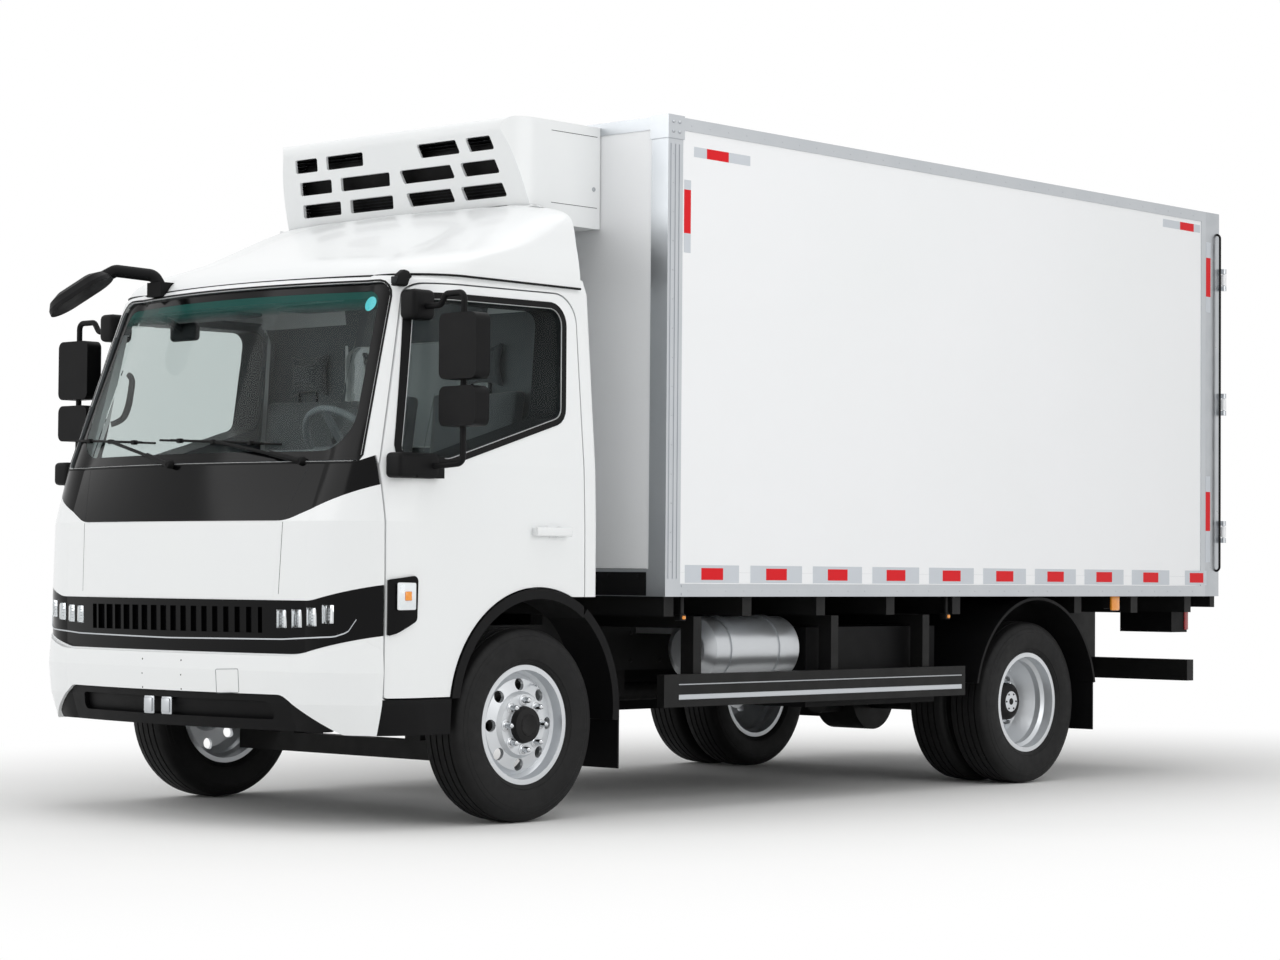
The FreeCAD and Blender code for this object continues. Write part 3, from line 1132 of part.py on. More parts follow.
def make_cargo_doors():
    """Two insulated leaves with their hinge straps, and the upright lock bars with their guides."""
    gap, recess = S["cargo_door_gap"], S["cargo_door_recess"]
    face_y = BOX_REAR - recess
    jamb = BOX_SIDE - S["frame_face"] - gap
    low, high = DOOR_LOW + gap, DOOR_HIGH - gap
    pin_x, pin_y = BOX_SIDE + S["cargo_hinge_offset"], BOX_REAR + S["cargo_hinge_offset"]
    strap_reach, strap_thick, strap_gap = 210, 8, 6
    bar_radius = 10
    for side, word in ((1, "left"), (-1, "right")):
        leaf = block(f"leaf_{word}", ordered(side * gap, side * jamb),
                     (face_y - S["cargo_door_thickness"], face_y), (low, high))
        pieces = [leaf]
        bores = []
        for height in hinge_heights():
            tag = f"{word}_{int(float(height))}"
            pieces.append(block(f"strap_{tag}", ordered(side * (jamb - strap_reach), side * pin_x),
                                (BOX_REAR + strap_gap, BOX_REAR + strap_gap + strap_thick),
                                (height - 24, height + 24)))
            pieces.append(block(f"strap_pad_{tag}", ordered(side * (jamb - strap_reach), side * (jamb - 20)),
                                (face_y - 1, BOX_REAR + strap_gap + 1), (height - 24, height + 24)))
            pieces.append(rod(f"strap_barrel_{tag}", "z", S["hinge_radius"], height - 28, height + 28,
                              (side * pin_x, pin_y)))
            bores.append(rod(f"strap_bore_{tag}", "z", 6.4, height - 60, height + 60, (side * pin_x, pin_y)))
        publish(cut(f"cargo_leaf_{word}", join(f"cargo_leaf_{word}_whole", pieces), bores), f"cargo_door_{word}")
        bars = []
        for index, along in enumerate((gap + 70, jamb - 260)):
            place = (side * along, face_y + bar_radius + 2)
            bars.append(rod(f"bar_{word}_{index}", "z", bar_radius, low + 12, high - 12, place))
            for number, share in enumerate((0.06, 0.36, 0.64, 0.94)):
                middle = low + (high - low) * share
                bars.append(block(f"bar_guide_{word}_{index}_{number}",
                                  ordered(side * (along - 30), side * (along + 30)),
                                  (face_y, face_y + bar_radius + 4), (middle - 22, middle + 22)))
            grip_z = low + 300
            bars.append(block(f"bar_handle_{word}_{index}",
                              ordered(side * (along - 8), side * (along + 190)),
                              (face_y + 4, face_y + 14), (grip_z - 14, grip_z + 14)))
        publish(join(f"lock_bars_{word}_whole", bars), f"lock_bars_{word}")


REEFER_ROWS = [
    # height of the slot row, inner slot from and to, outer slot from and to
    (2735, 165, 410, 455, 610),
    (2641, 30, 350, 395, 612),
    (2547, 40, 322, 368, 625),
    (2456, 55, 300, 345, 630),
]


def reefer_body(inset):
    """The cooling unit's outer form, moved in by inset: raked face, rounded shoulders and corners."""
    back = (BOX_FRONT - S["panel_gap"]).value - inset
    low, high = S["reefer_bottom"].value + inset, S["reefer_top"].value - inset
    rear = (BOX_FRONT - S["panel_gap"]).value
    low_front = rear - S["reefer_depth_bottom"].value + inset
    high_front = rear - S["reefer_depth_top"].value + inset
    half = S["reefer_width"].value / 2 - inset
    side = side_panel([(size(back), size(low), 0), (size(low_front), size(low), 30),
                       (size(high_front), size(high), 45), (size(back), size(high), 0)], -half, half)
    plan = outline_face([(size(-half), size(back), 0), (size(-half + 10), size(high_front), 150),
                         (size(half - 10), size(high_front), 150), (size(half), size(back), 0)],
                        lambda p: Vector(p.x, p.y, low)).extrude(Vector(0, 0, high - low))
    return side.common(plan)


def make_reefer():
    """Cooling unit on the front wall: a slotted cover over a dark core."""
    shell_wall = S["reefer_shell"].value
    cover = reefer_body(0).cut(reefer_body(shell_wall))
    height, slant = 56, 14
    for row, inner_from, inner_to, outer_from, outer_to in REEFER_ROWS:
        for near, far in ((inner_from, inner_to), (outer_from, outer_to)):
            for side in (1, -1):
                outline = [(side * (near + slant), row - height / 2, 9), (side * near, row + height / 2, 9),
                           (side * (far - slant), row + height / 2, 9), (side * far, row - height / 2, 9)]
                outline = [(size(x), size(z), radius) for x, z, radius in outline]
                slot = front_panel(outline, BOX_FRONT - 700, BOX_FRONT - 200)
                cover = cover.cut(slot)
    publish(shaped("reefer_cover_form", cover.removeSplitter()), "reefer_cover")
    core = reefer_body(shell_wall + 60).cut(Part.makeBox(3000, 100, 3000, point(
        -1500, BOX_FRONT - shell_wall - 60.5, 1000)))
    foot = Part.makeBox(900, 180, 80, point(-450, BOX_FRONT - 290, S["reefer_bottom"] + shell_wall))
    publish(shaped("reefer_core_form", core.fuse(foot).removeSplitter()), "reefer_core")


# ---------------------------------------------------------------- under the box

def make_underbody():
    """Cross bearers, side guards, mudguards, tail lamps and the rear underrun bar."""
    half, flange = S["rail_spacing"] / 2, S["rail_width"] / 2
    runner_high = 45
    runners = [block(f"runner_{word}", (side * half - flange, side * half + flange),
                     (BOX_FRONT + 20, TAIL - 90), (RAIL_TOP, RAIL_TOP + runner_high))
               for side, word in ((1, "left"), (-1, "right"))]
    bearers = []
    bearer_count, wide = 9, 60
    guard_reach = 320
    for index in range(bearer_count):
        station = BOX_FRONT + 60 + (S["box_length"] - 230 - wide) * index / (bearer_count - 1)
        over_wheels = abs(float(station - REAR_AXLE)) < guard_reach
        reach = half + flange + 40 if over_wheels else BOX_SIDE - 60
        bearers.append(block(f"bearer_{index}", (-reach, reach), (station, station + wide),
                             (RAIL_TOP + runner_high, S["box_bottom"])))
    publish(gather("subframe_whole", runners + bearers), "subframe")

    guard_x = S["box_width"] / 2 - 45
    guard_low, guard_high = size(433), size(567)
    guard_front, guard_rear = FRONT_AXLE + 713, REAR_AXLE - 562
    beam, post = 40, 70
    guards = []
    for side, word in ((1, "left"), (-1, "right")):
        guards.append(block(f"guard_beam_{word}", ordered(side * (guard_x - beam), side * guard_x),
                            (guard_front, guard_rear), (guard_low, guard_high)))
        for index, along in enumerate((0.12, 0.56, 0.88)):
            station = guard_front + (guard_rear - guard_front) * along
            guards.append(block(f"guard_post_{word}_{index}",
                                ordered(side * (guard_x - beam - post), side * (guard_x - beam)),
                                (station - 25, station + 25), (guard_low + 30, RAIL_TOP + 43)))
            guards.append(block(f"guard_arm_{word}_{index}",
                                ordered(side * (half + flange), side * (guard_x - beam - post)),
                                (station - 25, station + 25), (RAIL_TOP - 6, RAIL_TOP + 43)))
    publish(gather("side_guards_pair", guards), "side_guards")
    make_mudguards()

    lamp = []
    for side, word in ((1, "left"), (-1, "right")):
        lamp.append(block(f"lamp_body_{word}", ordered(side * 640, side * 950),
                          (BOX_REAR - 160, BOX_REAR - 12), (700, 830)))
        lamp.append(block(f"lamp_stay_{word}", ordered(side * 700, side * 760),
                          (BOX_REAR - 130, BOX_REAR - 51), (829, S["box_bottom"])))
    publish(join("tail_lamps_pair", lamp), "tail_lamps")

    bar = [block("underrun_bar", (-1000, 1000), (BOX_REAR - 90, BOX_REAR - 30), (452, 560))]
    for side, word in ((1, "left"), (-1, "right")):
        near = side * half
        bar.append(block(f"underrun_post_{word}", (near - 30, near + 30), (BOX_REAR - 250, BOX_REAR - 170),
                         (480, S["rail_bottom"])))
        bar.append(block(f"underrun_arm_{word}", (near - 30, near + 30), (BOX_REAR - 250, BOX_REAR - 89),
                         (480, 530)))
    bar.append(block("tail_beam", (-BOX_SIDE + 20, BOX_SIDE - 20), (BOX_REAR - 50, BOX_REAR - 8),
                     (S["box_bottom"] - 56, S["box_bottom"])))
    publish(join("underrun_whole", bar), "rear_underrun")


def band_arc(radius_in, radius_out, centre_y, centre_z, from_deg, to_deg, low, high):
    """A curved band about an axis along X; angles run from the rear, 0, over the top, 90."""
    def spot(radius, degrees):
        angle = math.radians(degrees)
        return point(low, float(centre_y) + radius * math.cos(angle), float(centre_z) + radius * math.sin(angle))
    middle = (from_deg + to_deg) / 2
    edges = [Part.Arc(spot(radius_out, from_deg), spot(radius_out, middle), spot(radius_out, to_deg)).toShape(),
             Part.LineSegment(spot(radius_out, to_deg), spot(radius_in, to_deg)).toShape(),
             Part.Arc(spot(radius_in, to_deg), spot(radius_in, middle), spot(radius_in, from_deg)).toShape(),
             Part.LineSegment(spot(radius_in, from_deg), spot(radius_out, from_deg)).toShape()]
    return Part.Face(Part.Wire(edges)).extrude(Vector(high - low, 0, 0))


def make_mudguards():
    """Front mudguards behind the cab wheels and arched guards over the twin wheels, with flaps."""
    half = (S["rail_spacing"] / 2 + S["rail_width"] / 2).value
    centre_y, centre_z = (FRONT_AXLE + S["arch_setback"]).value, S["arch_height"].value
    guard = band_arc(468, 505, centre_y, centre_z, -6, 52, 790, 1000)
    flap = Part.makeBox(210, 8, 250, point(790, centre_y + 497, 190))
    stay = Part.makeBox(790 - half, 40, 40, point(half, centre_y + 430, centre_z + 170))
    stay_end = Part.makeBox(60, 70, 40, point(770, centre_y + 430, centre_z + 170))
    left = guard.fuse([flap, stay, stay_end])
    front = left.fuse(mirror_x(left))
    radius = (S["box_bottom"] - AXLE_HEIGHT).value - 4
    guard = band_arc(radius - 14, radius, REAR_AXLE, AXLE_HEIGHT, 10, 168, 600, 1100)
    flap_y = REAR_AXLE.value + radius - 20
    flap = Part.makeBox(480, 8, 310, point(610, flap_y, 240))
    stays = [Part.makeBox(640 - half, 40, 30, point(half, REAR_AXLE.value + place, RAIL_TOP.value - 60))
             for place in (-390, 350)]
    left = guard.fuse([flap] + stays)
    rear = left.fuse(mirror_x(left))
    publish(shaped("mudguards_form", Part.makeCompound(front.Solids + rear.Solids)), "mudguards")


# ---------------------------------------------------------------- the whole truck

def check_and_write():
    """Stops at the first failed object; then writes one STEP file for each sub-part."""
    doc.recompute()
    for item in doc.Objects:
        if {"Invalid", "Error"} & set(item.State):
            raise RuntimeError(f"{item.Name} ({item.Label}) is {item.State}")
    for item in nodes:
        if item.Shape.isNull() or not item.Shape.isValid():
            raise RuntimeError(f"{item.Label} has no valid shape")
    os.makedirs("parts", exist_ok=True)
    for item in nodes:
        item.Shape.exportStep(os.path.join("parts", item.Label + ".step"))


make_wheels()
make_axles()
make_chassis()
make_driveline()
make_air_tank()
make_cab()
make_box()
make_cargo_doors()
make_reefer()
make_underbody()
check_and_write()
for item in nodes:
    print(f"{item.Label}: {len(item.Shape.Solids)} solids")
print(len(nodes), "sub-parts")
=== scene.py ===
import json
from math import cos, radians, sin, tau

import bmesh
import bpy
from mathutils import Matrix, Vector
from mathutils.bvhtree import BVHTree


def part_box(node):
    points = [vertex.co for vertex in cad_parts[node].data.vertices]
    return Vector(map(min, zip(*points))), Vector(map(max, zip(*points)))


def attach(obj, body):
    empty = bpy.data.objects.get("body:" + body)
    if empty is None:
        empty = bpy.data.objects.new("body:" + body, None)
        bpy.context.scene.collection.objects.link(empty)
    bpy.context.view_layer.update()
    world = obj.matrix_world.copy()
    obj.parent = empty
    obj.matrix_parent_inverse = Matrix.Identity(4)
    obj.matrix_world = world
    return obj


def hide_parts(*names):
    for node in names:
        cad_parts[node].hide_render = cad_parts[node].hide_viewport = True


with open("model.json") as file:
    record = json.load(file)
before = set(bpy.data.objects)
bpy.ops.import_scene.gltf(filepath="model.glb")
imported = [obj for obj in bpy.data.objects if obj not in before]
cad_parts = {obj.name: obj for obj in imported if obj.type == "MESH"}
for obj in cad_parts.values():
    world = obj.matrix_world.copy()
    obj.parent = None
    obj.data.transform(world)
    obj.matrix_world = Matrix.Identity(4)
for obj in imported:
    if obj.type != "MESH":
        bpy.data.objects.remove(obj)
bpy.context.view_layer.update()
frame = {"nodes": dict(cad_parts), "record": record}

bl_info = {
    "name": "Refrigerated Truck Dressing",
    "version": (1, 0, 0),
    "blender": (4, 5, 0),
    "location": "View3D > Sidebar > Truck",
    "description": "Dresses the frame of a light refrigerated truck with its finishes and small parts",
    "category": "Object",
}

# The frame looks towards -Y, its right side as the driver sits is -X, and Z is up. Sizes are in metres.
MM = 0.001
SIDES = ((1, "left"), (-1, "right"))
INWARD, OUTWARD, BACKWARD, FORWARD, UPWARD, DOWNWARD = (
    Vector(way) for way in ((-1, 0, 0), (1, 0, 0), (0, 1, 0), (0, -1, 0), (0, 0, 1), (0, 0, -1)))
# Planes clear of the truck on its left and in front of it, from which thin pieces are laid on its faces.
BESIDE, AHEAD = 3, -4


# ---- sizes and colours

def linear(code):
    """Linear red, green, blue and full alpha of an sRGB colour written as hex."""
    levels = [int(code[at:at + 2], 16) / 255 for at in (0, 2, 4)]
    return [level / 12.92 if level <= 0.04045 else ((level + 0.055) / 1.055) ** 2.4
            for level in levels] + [1.0]


def millimetres(name, text, default):
    return bpy.props.FloatProperty(name=name, description=text, default=default * MM, unit="LENGTH",
                                   precision=4)


def colour(name, text, code):
    return bpy.props.FloatVectorProperty(name=name, description=text, default=linear(code)[:3],
                                         subtype="COLOR", size=3, min=0, max=1)


class TruckSizes(bpy.types.PropertyGroup):
    groove_depth: millimetres("Groove depth", "Depth of the grooves round each tyre", 9)
    groove_width: millimetres("Groove width", "Width of the grooves round each tyre", 8)
    nut_reach: millimetres("Nut reach", "How far a wheel nut stands out from the disc", 40)
    screen_border: millimetres("Screen border", "Width of the print at the sides of the windscreen", 58)
    sun_band: millimetres("Sun band", "Height of the green band along the top of the windscreen", 118)
    blade_length: millimetres("Wiper blade", "Length of one wiper blade", 690)
    seal_width: millimetres("Seal width", "Width of the rubber round a door window", 24)
    tape_length: millimetres("Tape length", "Length of one reflecting patch on the cargo box", 138)
    tape_height: millimetres("Tape height", "Height of one reflecting patch", 49)
    rivet_pitch: millimetres("Rivet pitch", "Distance between the rivets of the box trims", 118)


class TruckColours(bpy.types.PropertyGroup):
    tape_red: colour("Tape red", "Red half of a reflecting patch", "D80F1B")
    tape_white: colour("Tape white", "Pale half of a reflecting patch", "C9CED4")
    sun_glass: colour("Sun band", "Green of the band in the windscreen", "06453F")


def sizes():
    return bpy.context.scene.truck_sizes


def colours():
    return bpy.context.scene.truck_colours


# ---- finishes

def add_node(tree, kind, settings=None, links=None):
    """Add one shader node; settings go to its sockets or its properties, links to its sockets."""
    node = tree.nodes.new(kind)
    for name, value in (settings or {}).items():
        if isinstance(name, str) and name not in node.inputs:
            setattr(node, name, value)
        else:
            node.inputs[name].default_value = value
    for name, source in (links or {}).items():
        tree.links.new(source, node.inputs[name])
    return node


def new_finish(name):
    """An empty material, its node tree and the socket that gives a place on the truck in metres."""
    finish = bpy.data.materials.new(name)
    finish.use_nodes = True
    tree = finish.node_tree
    tree.nodes.clear()
    return finish, tree, add_node(tree, "ShaderNodeTexCoord").outputs["Object"]


def wandering(tree, place, size_mm, low=0, high=1):
    """A value that wanders from low to high over soft random patches of about size_mm across."""
    patches = add_node(tree, "ShaderNodeTexNoise", {"Scale": 1000 / size_mm, "Detail": 3.0},
                       {"Vector": place})
    return add_node(tree, "ShaderNodeMapRange", {
        "From Min": 0.2, "From Max": 0.8, "To Min": low, "To Max": high},
        {"Value": patches.outputs["Fac"]}).outputs["Result"]


def grained(tree, place, size_mm, depth_mm, detail=3.0):
    """The normals of a fine random grain."""
    grain = add_node(tree, "ShaderNodeTexNoise", {"Scale": 1000 / size_mm, "Detail": detail},
                     {"Vector": place})
    return add_node(tree, "ShaderNodeBump", {"Strength": 0.6, "Distance": depth_mm * MM},
                    {"Height": grain.outputs["Fac"]}).outputs["Normal"]


def two_toned(tree, factor, first, second, settings, links):
    """A surface whose colour goes from the first to the second by a factor."""
    tone = add_node(tree, "ShaderNodeMix", {"data_type": "RGBA", 6: first, 7: second}, {0: factor})
    return add_node(tree, "ShaderNodeBsdfPrincipled", settings, {
        "Base Color": tone.outputs[2], **links}).outputs["BSDF"]


# Each row is a material, how it was made, and what that gives the eye in its comment.
PLAIN_FINISHES = [
    # slot, name, colour, second colour, patch mm, metallic, roughness low and high,
    # grain mm, grain depth mm, coat, specular
    # Sprayed enamel: deep gloss with a slow orange-peel ripple.
    ("white_paint", "Sprayed_White_Enamel", "EEF0F0", "ECEEEF", 420, 0.0, 0.32, 0.36, 9, 0.003, 0.22, 0.4),
    # Gel coat over a glass mat panel: less gloss than enamel, flat with long, faint waves.
    ("white_panel", "White_Gelcoat_Panel", "F1F2F4", "EEF0F1", 900, 0.0, 0.34, 0.40, 160, 0.05, 0.10, 0.5),
    # Thermoformed cover: soft sheen and a fine even skin.
    ("white_plastic", "Moulded_White_Plastic", "ECEEEE", "E9EBEC", 300, 0.0, 0.30, 0.35, 3, 0.006, 0.10, 0.5),
    # Piano black polycarbonate: a mirror-like skin that shows faint flow ripples.
    ("black_gloss", "Moulded_Gloss_Black", "040405", "070708", 260, 0.0, 0.12, 0.16, 40, 0.006, 0.0, 0.13),
    # Textured polypropylene: dull black with a fine spark-eroded grain.
    ("black_plastic", "Grained_Black_Polypropylene", "0B0B0C", "101011", 180, 0.0, 0.46, 0.56, 2, 0.04, 0.0,
     0.12),
    # Foamed dash skin: grey with a soft leather-like grain.
    ("grey_plastic", "Grained_Grey_Dash_Skin", "74787B", "6C7073", 120, 0.0, 0.52, 0.64, 4, 0.09, 0.0, 0.25),
    # Silver paint on pressed steel: bright flake in a smooth clear coat.
    ("wheel_steel", "Silver_Painted_Steel", "D4D7DA", "D0D3D6", 300, 0.55, 0.30, 0.34, 3, 0.003, 0.15, 0.5),
    # Chassis enamel: satin black with a thin film of road dust.
    ("chassis_black", "Satin_Chassis_Enamel", "0F0F10", "191918", 210, 0.0, 0.38, 0.60, 12, 0.06, 0.05, 0.16),
    # Sand-cast iron under black paint: pebbly and dull.
    ("cast_black", "Painted_Sand_Casting", "131314", "1E1D1D", 80, 0.0, 0.50, 0.68, 3, 0.16, 0.0, 0.18),
    # Mill-finish plate: soft grey metal with rolling marks.
    ("floor_aluminium", "Mill_Finish_Aluminium", "B4B7BA", "A6AAAE", 140, 1.0, 0.36, 0.50, 14, 0.03, 0.0, 0.5),
    # Galvanised and brushed steel of the tail frame: paler and duller than chrome.
    ("frame_steel", "Brushed_Stainless_Steel", "BFC2C5", "B2B6BA", 90, 1.0, 0.26, 0.38, 5, 0.015, 0.0, 0.5),
    # Drawn and anodised sections: even satin silver.
    ("trim_aluminium", "Anodised_Aluminium", "C3C6C9", "BCC0C4", 240, 1.0, 0.32, 0.42, 6, 0.012, 0.0, 0.5),
    # Polished tank: bright, with faint turning marks.
    ("tank_aluminium", "Polished_Aluminium", "CBCED1", "C6C9CC", 300, 0.8, 0.29, 0.32, 60, 0.001, 0.0, 0.5),
    # Extruded rubber of seals, wiper blades and hoses: deep black, slightly waxy.
    ("", "Extruded_Black_Rubber", "0E0E0F", "131313", 60, 0.0, 0.50, 0.60, 2, 0.004, 0.0, 0.12),
    # Chromium plate on nuts and lamp bowls: clean mirror with a light haze.
    ("", "Bright_Chrome_Plate", "DADCDE", "CDD0D3", 30, 1.0, 0.06, 0.14, 4, 0.004, 0.0, 0.5),
    # Silver-backed mirror glass.
    ("", "Silvered_Mirror_Glass", "C7D3D2", "BFCBCA", 200, 1.0, 0.02, 0.05, 300, 0.004, 0.0, 0.5),
    # Plain vinyl disc, cut and stuck on the glass.
    ("", "Bright_Teal_Vinyl", "35C6CC", "2FBDC4", 20, 0.0, 0.24, 0.34, 3, 0.01, 0.20, 0.5),
    # Milky acrylic light guides of the lamps.
    ("", "Diffuse_White_Light_Guide", "F4F6F7", "EDF0F2", 20, 0.0, 0.20, 0.30, 6, 0.02, 0.30, 0.5),
    # Grey polypropylene of sensor housings.
    ("", "Moulded_Grey_Plastic", "26282A", "222426", 60, 0.0, 0.46, 0.54, 3, 0.004, 0.0, 0.15),
    # Clear red and amber acrylic lenses, backed by their reflectors.
    ("", "Moulded_Red_Lens", "8E0B12", "A3101A", 9, 0.0, 0.10, 0.20, 5, 0.12, 0.50, 0.5),
    ("", "Moulded_Amber_Lens", "EE8A17", "F7A12E", 9, 0.0, 0.12, 0.20, 5, 0.12, 0.50, 0.5),
]


def make_plain_finish(row):
    """A finish with its own patches of colour, patches of gloss and grain."""
    _, name, first, second, patch, metallic, smooth, rough, grain, depth, coat, specular = row
    finish, tree, place = new_finish(name)
    gloss_share = 0.4
    surface = two_toned(tree, wandering(tree, place, patch), linear(first), linear(second), {
        "Metallic": metallic, "Coat Weight": coat, "Coat Roughness": 0.05, "Specular IOR Level": specular}, {
        "Roughness": wandering(tree, place, patch * gloss_share, smooth, rough),
        "Normal": grained(tree, place, grain, depth, 2.0)})
    add_node(tree, "ShaderNodeOutputMaterial", links={"Surface": surface})
    return finish


def make_pane(name, tint, haze, ior):
    """A clear pane: a little tint, faint wiping haze, and it lets the lamps through."""
    finish, tree, place = new_finish(name)
    glass = add_node(tree, "ShaderNodeBsdfPrincipled", {
        "Base Color": linear(tint), "Transmission Weight": 1.0, "IOR": ior},
        {"Roughness": wandering(tree, place, 260, 0, haze)})
    open_way = add_node(tree, "ShaderNodeBsdfTransparent", {"Color": linear(tint)})
    light = add_node(tree, "ShaderNodeLightPath")
    either = add_node(tree, "ShaderNodeMixShader", links={
        0: light.outputs["Is Shadow Ray"], 1: glass.outputs["BSDF"], 2: open_way.outputs["BSDF"]})
    add_node(tree, "ShaderNodeOutputMaterial", links={"Surface": either.outputs["Shader"]})
    return finish


def make_sun_band():
    """Printed green band that is dense at the top of the screen and fades out below."""
    _, tree, place = new_finish("Green_Printed_Sun_Band")
    top, fade_share, height = 2.10, 0.55, sizes().sun_band
    split = add_node(tree, "ShaderNodeSeparateXYZ", links={"Vector": place})
    density = add_node(tree, "ShaderNodeMapRange", {
        "From Min": top - height, "From Max": top - fade_share * height, "To Min": 0.0, "To Max": 0.97},
        {"Value": split.outputs["Z"]})
    print_coat = add_node(tree, "ShaderNodeBsdfPrincipled", {
        "Base Color": [*colours().sun_glass, 1], "Roughness": 0.25, "Specular IOR Level": 0.1},
        {"Alpha": density.outputs["Result"]})
    add_node(tree, "ShaderNodeOutputMaterial", links={"Surface": print_coat.outputs["BSDF"]})


def make_tyre_rubber():
    """Moulded rubber: carbon black, dusty on the crowns, with a fine moulded skin."""
    finish, tree, place = new_finish("Moulded_Tyre_Rubber")
    surface = two_toned(tree, wandering(tree, place, 70), linear("111112"), linear("191919"), {
        "Specular IOR Level": 0.2}, {
        "Roughness": wandering(tree, place, 30, 0.52, 0.68), "Normal": grained(tree, place, 3, 0.12)})
    add_node(tree, "ShaderNodeOutputMaterial", links={"Surface": surface})
    return finish


def make_seat_cloth():
    """Woven polyester: crossed threads, drawn at 3 mm so that they show, and a soft sheen."""
    finish, tree, place = new_finish("Woven_Grey_Seat_Cloth")
    thread_mm = 3
    weave = [add_node(tree, "ShaderNodeTexWave", {"bands_direction": way, "Scale": 1000 / thread_mm / tau,
                                                  "Distortion": 0.6}, {"Vector": place}).outputs["Fac"]
             for way in ("X", "Z")]
    cross = add_node(tree, "ShaderNodeMath", {"operation": "ADD"}, dict(enumerate(weave)))
    half = add_node(tree, "ShaderNodeMath", {"operation": "MULTIPLY", 1: 0.5}, {
        0: cross.outputs["Value"]}).outputs["Value"]
    threads = add_node(tree, "ShaderNodeBump", {"Strength": 0.5, "Distance": 0.5 * MM}, {"Height": half})
    surface = two_toned(tree, half, linear("4E5154"), linear("5C5F62"), {
        "Roughness": 0.88, "Sheen Weight": 0.35}, {"Normal": threads.outputs["Normal"]})
    add_node(tree, "ShaderNodeOutputMaterial", links={"Surface": surface})
    return finish


def make_tape():
    """Glass-bead reflecting film: small six-sided cells under a clear face, red for half of each patch."""
    _, tree, place = new_finish("Reflecting_Film")
    cell_mm = 6
    cells = add_node(tree, "ShaderNodeTexVoronoi", {"Scale": 1000 / cell_mm}, {"Vector": place})
    beads = add_node(tree, "ShaderNodeBump", {"Strength": 0.5, "Distance": 0.06 * MM}, {
        "Height": cells.outputs["Distance"]})
    half = add_node(tree, "ShaderNodeAttribute", {"attribute_name": "red_half"}).outputs["Fac"]
    surface = two_toned(tree, half, [*colours().tape_white, 1], [*colours().tape_red, 1], {
        "Roughness": 0.38, "Specular IOR Level": 0.2}, {"Normal": beads.outputs["Normal"]})
    add_node(tree, "ShaderNodeOutputMaterial", links={"Surface": surface})


def make_floor_finish():
    """Matt pale studio sheet that turns to plain white away from the truck."""
    _, tree, place = new_finish("Matt_Studio_Sheet")
    flat = add_node(tree, "ShaderNodeVectorMath", {"operation": "MULTIPLY", 1: (0.22, 0.14, 0)}, {0: place})
    reach = add_node(tree, "ShaderNodeVectorMath", {"operation": "LENGTH"}, {0: flat.outputs["Vector"]})
    away = add_node(tree, "ShaderNodeMapRange", {
        "interpolation_type": "SMOOTHSTEP", "From Min": 0.35, "From Max": 1.0},
        {"Value": reach.outputs["Value"]})
    light = add_node(tree, "ShaderNodeLightPath").outputs
    seen = add_node(tree, "ShaderNodeMath", {"operation": "MAXIMUM"}, {
        0: light["Is Camera Ray"], 1: light["Is Glossy Ray"]})
    share = add_node(tree, "ShaderNodeMath", {"operation": "MULTIPLY"}, {
        0: away.outputs["Result"], 1: seen.outputs["Value"]})
    sheet = two_toned(tree, wandering(tree, place, 900), linear("F4F4F3"), linear("F1F1F0"), {
        "Roughness": 0.9, "Specular IOR Level": 0.1}, {})
    white = add_node(tree, "ShaderNodeEmission", {"Color": (1, 1, 1, 1), "Strength": 1.0})
    either = add_node(tree, "ShaderNodeMixShader", links={
        0: share.outputs["Value"], 1: sheet, 2: white.outputs["Emission"]})
    add_node(tree, "ShaderNodeOutputMaterial", links={"Surface": either.outputs["Shader"]})


def make_finishes():
    """All the materials; the record's slot of each plain finish gives the CAD nodes that wear it."""
    by_slot = {row[0]: make_plain_finish(row) for row in PLAIN_FINISHES if row[0]}
    for row in PLAIN_FINISHES:
        if not row[0]:
            make_plain_finish(row)
    by_slot["glass"] = make_pane("Float_Glass", "D9DFDE", 0.003, 1.13)
    by_slot["lamp_glass"] = make_pane("Moulded_Clear_Lens", "F4F7F8", 0.03, 1.45)
    by_slot["tyre"] = make_tyre_rubber()
    by_slot["seat_fabric"] = make_seat_cloth()
    make_sun_band()
    make_tape()
    make_floor_finish()
    by_slot["tank_brackets"] = by_slot["tank_aluminium"]
    for part in frame["record"]["subparts"]:
        node = frame["nodes"][part["node"]]
        finish = by_slot.get(part["node"]) or by_slot[part["material_slot"]]
        for holder in node.material_slots:
            holder.material = finish


# ---- modelling helpers

def clear_selection():
    if bpy.context.object and bpy.context.object.mode != "OBJECT":
        bpy.ops.object.mode_set(mode="OBJECT")
    bpy.ops.object.select_all(action="DESELECT")


def take(piece):
    """Select one piece alone and make it active."""
    clear_selection()
    piece.select_set(True)
    bpy.context.view_layer.objects.active = piece
    return piece


def edited(piece, *works):
    """Run mesh operators, each with its settings, on the whole of one piece."""
    take(piece)
    bpy.ops.object.mode_set(mode="EDIT")
    for work, settings in works:
        bpy.ops.mesh.select_all(action="SELECT")
        work(**settings)
    bpy.ops.object.mode_set(mode="OBJECT")
    return piece


FACED_OUT = (bpy.ops.mesh.normals_make_consistent, {"inside": False})
CLEANED = ((bpy.ops.mesh.remove_doubles, {"threshold": 0.02 * MM}), FACED_OUT)


def apply_all(piece):
    take(piece)
    for modifier in list(piece.modifiers):
        bpy.ops.object.modifier_apply(modifier=modifier.name)
    bpy.ops.object.transform_apply(location=True, rotation=True, scale=True)
    return piece


def linked(data):
    """A new object for a mesh, a curve or a camera."""
    piece = bpy.data.objects.new(data.name, data)
    bpy.context.scene.collection.objects.link(piece)
    return piece


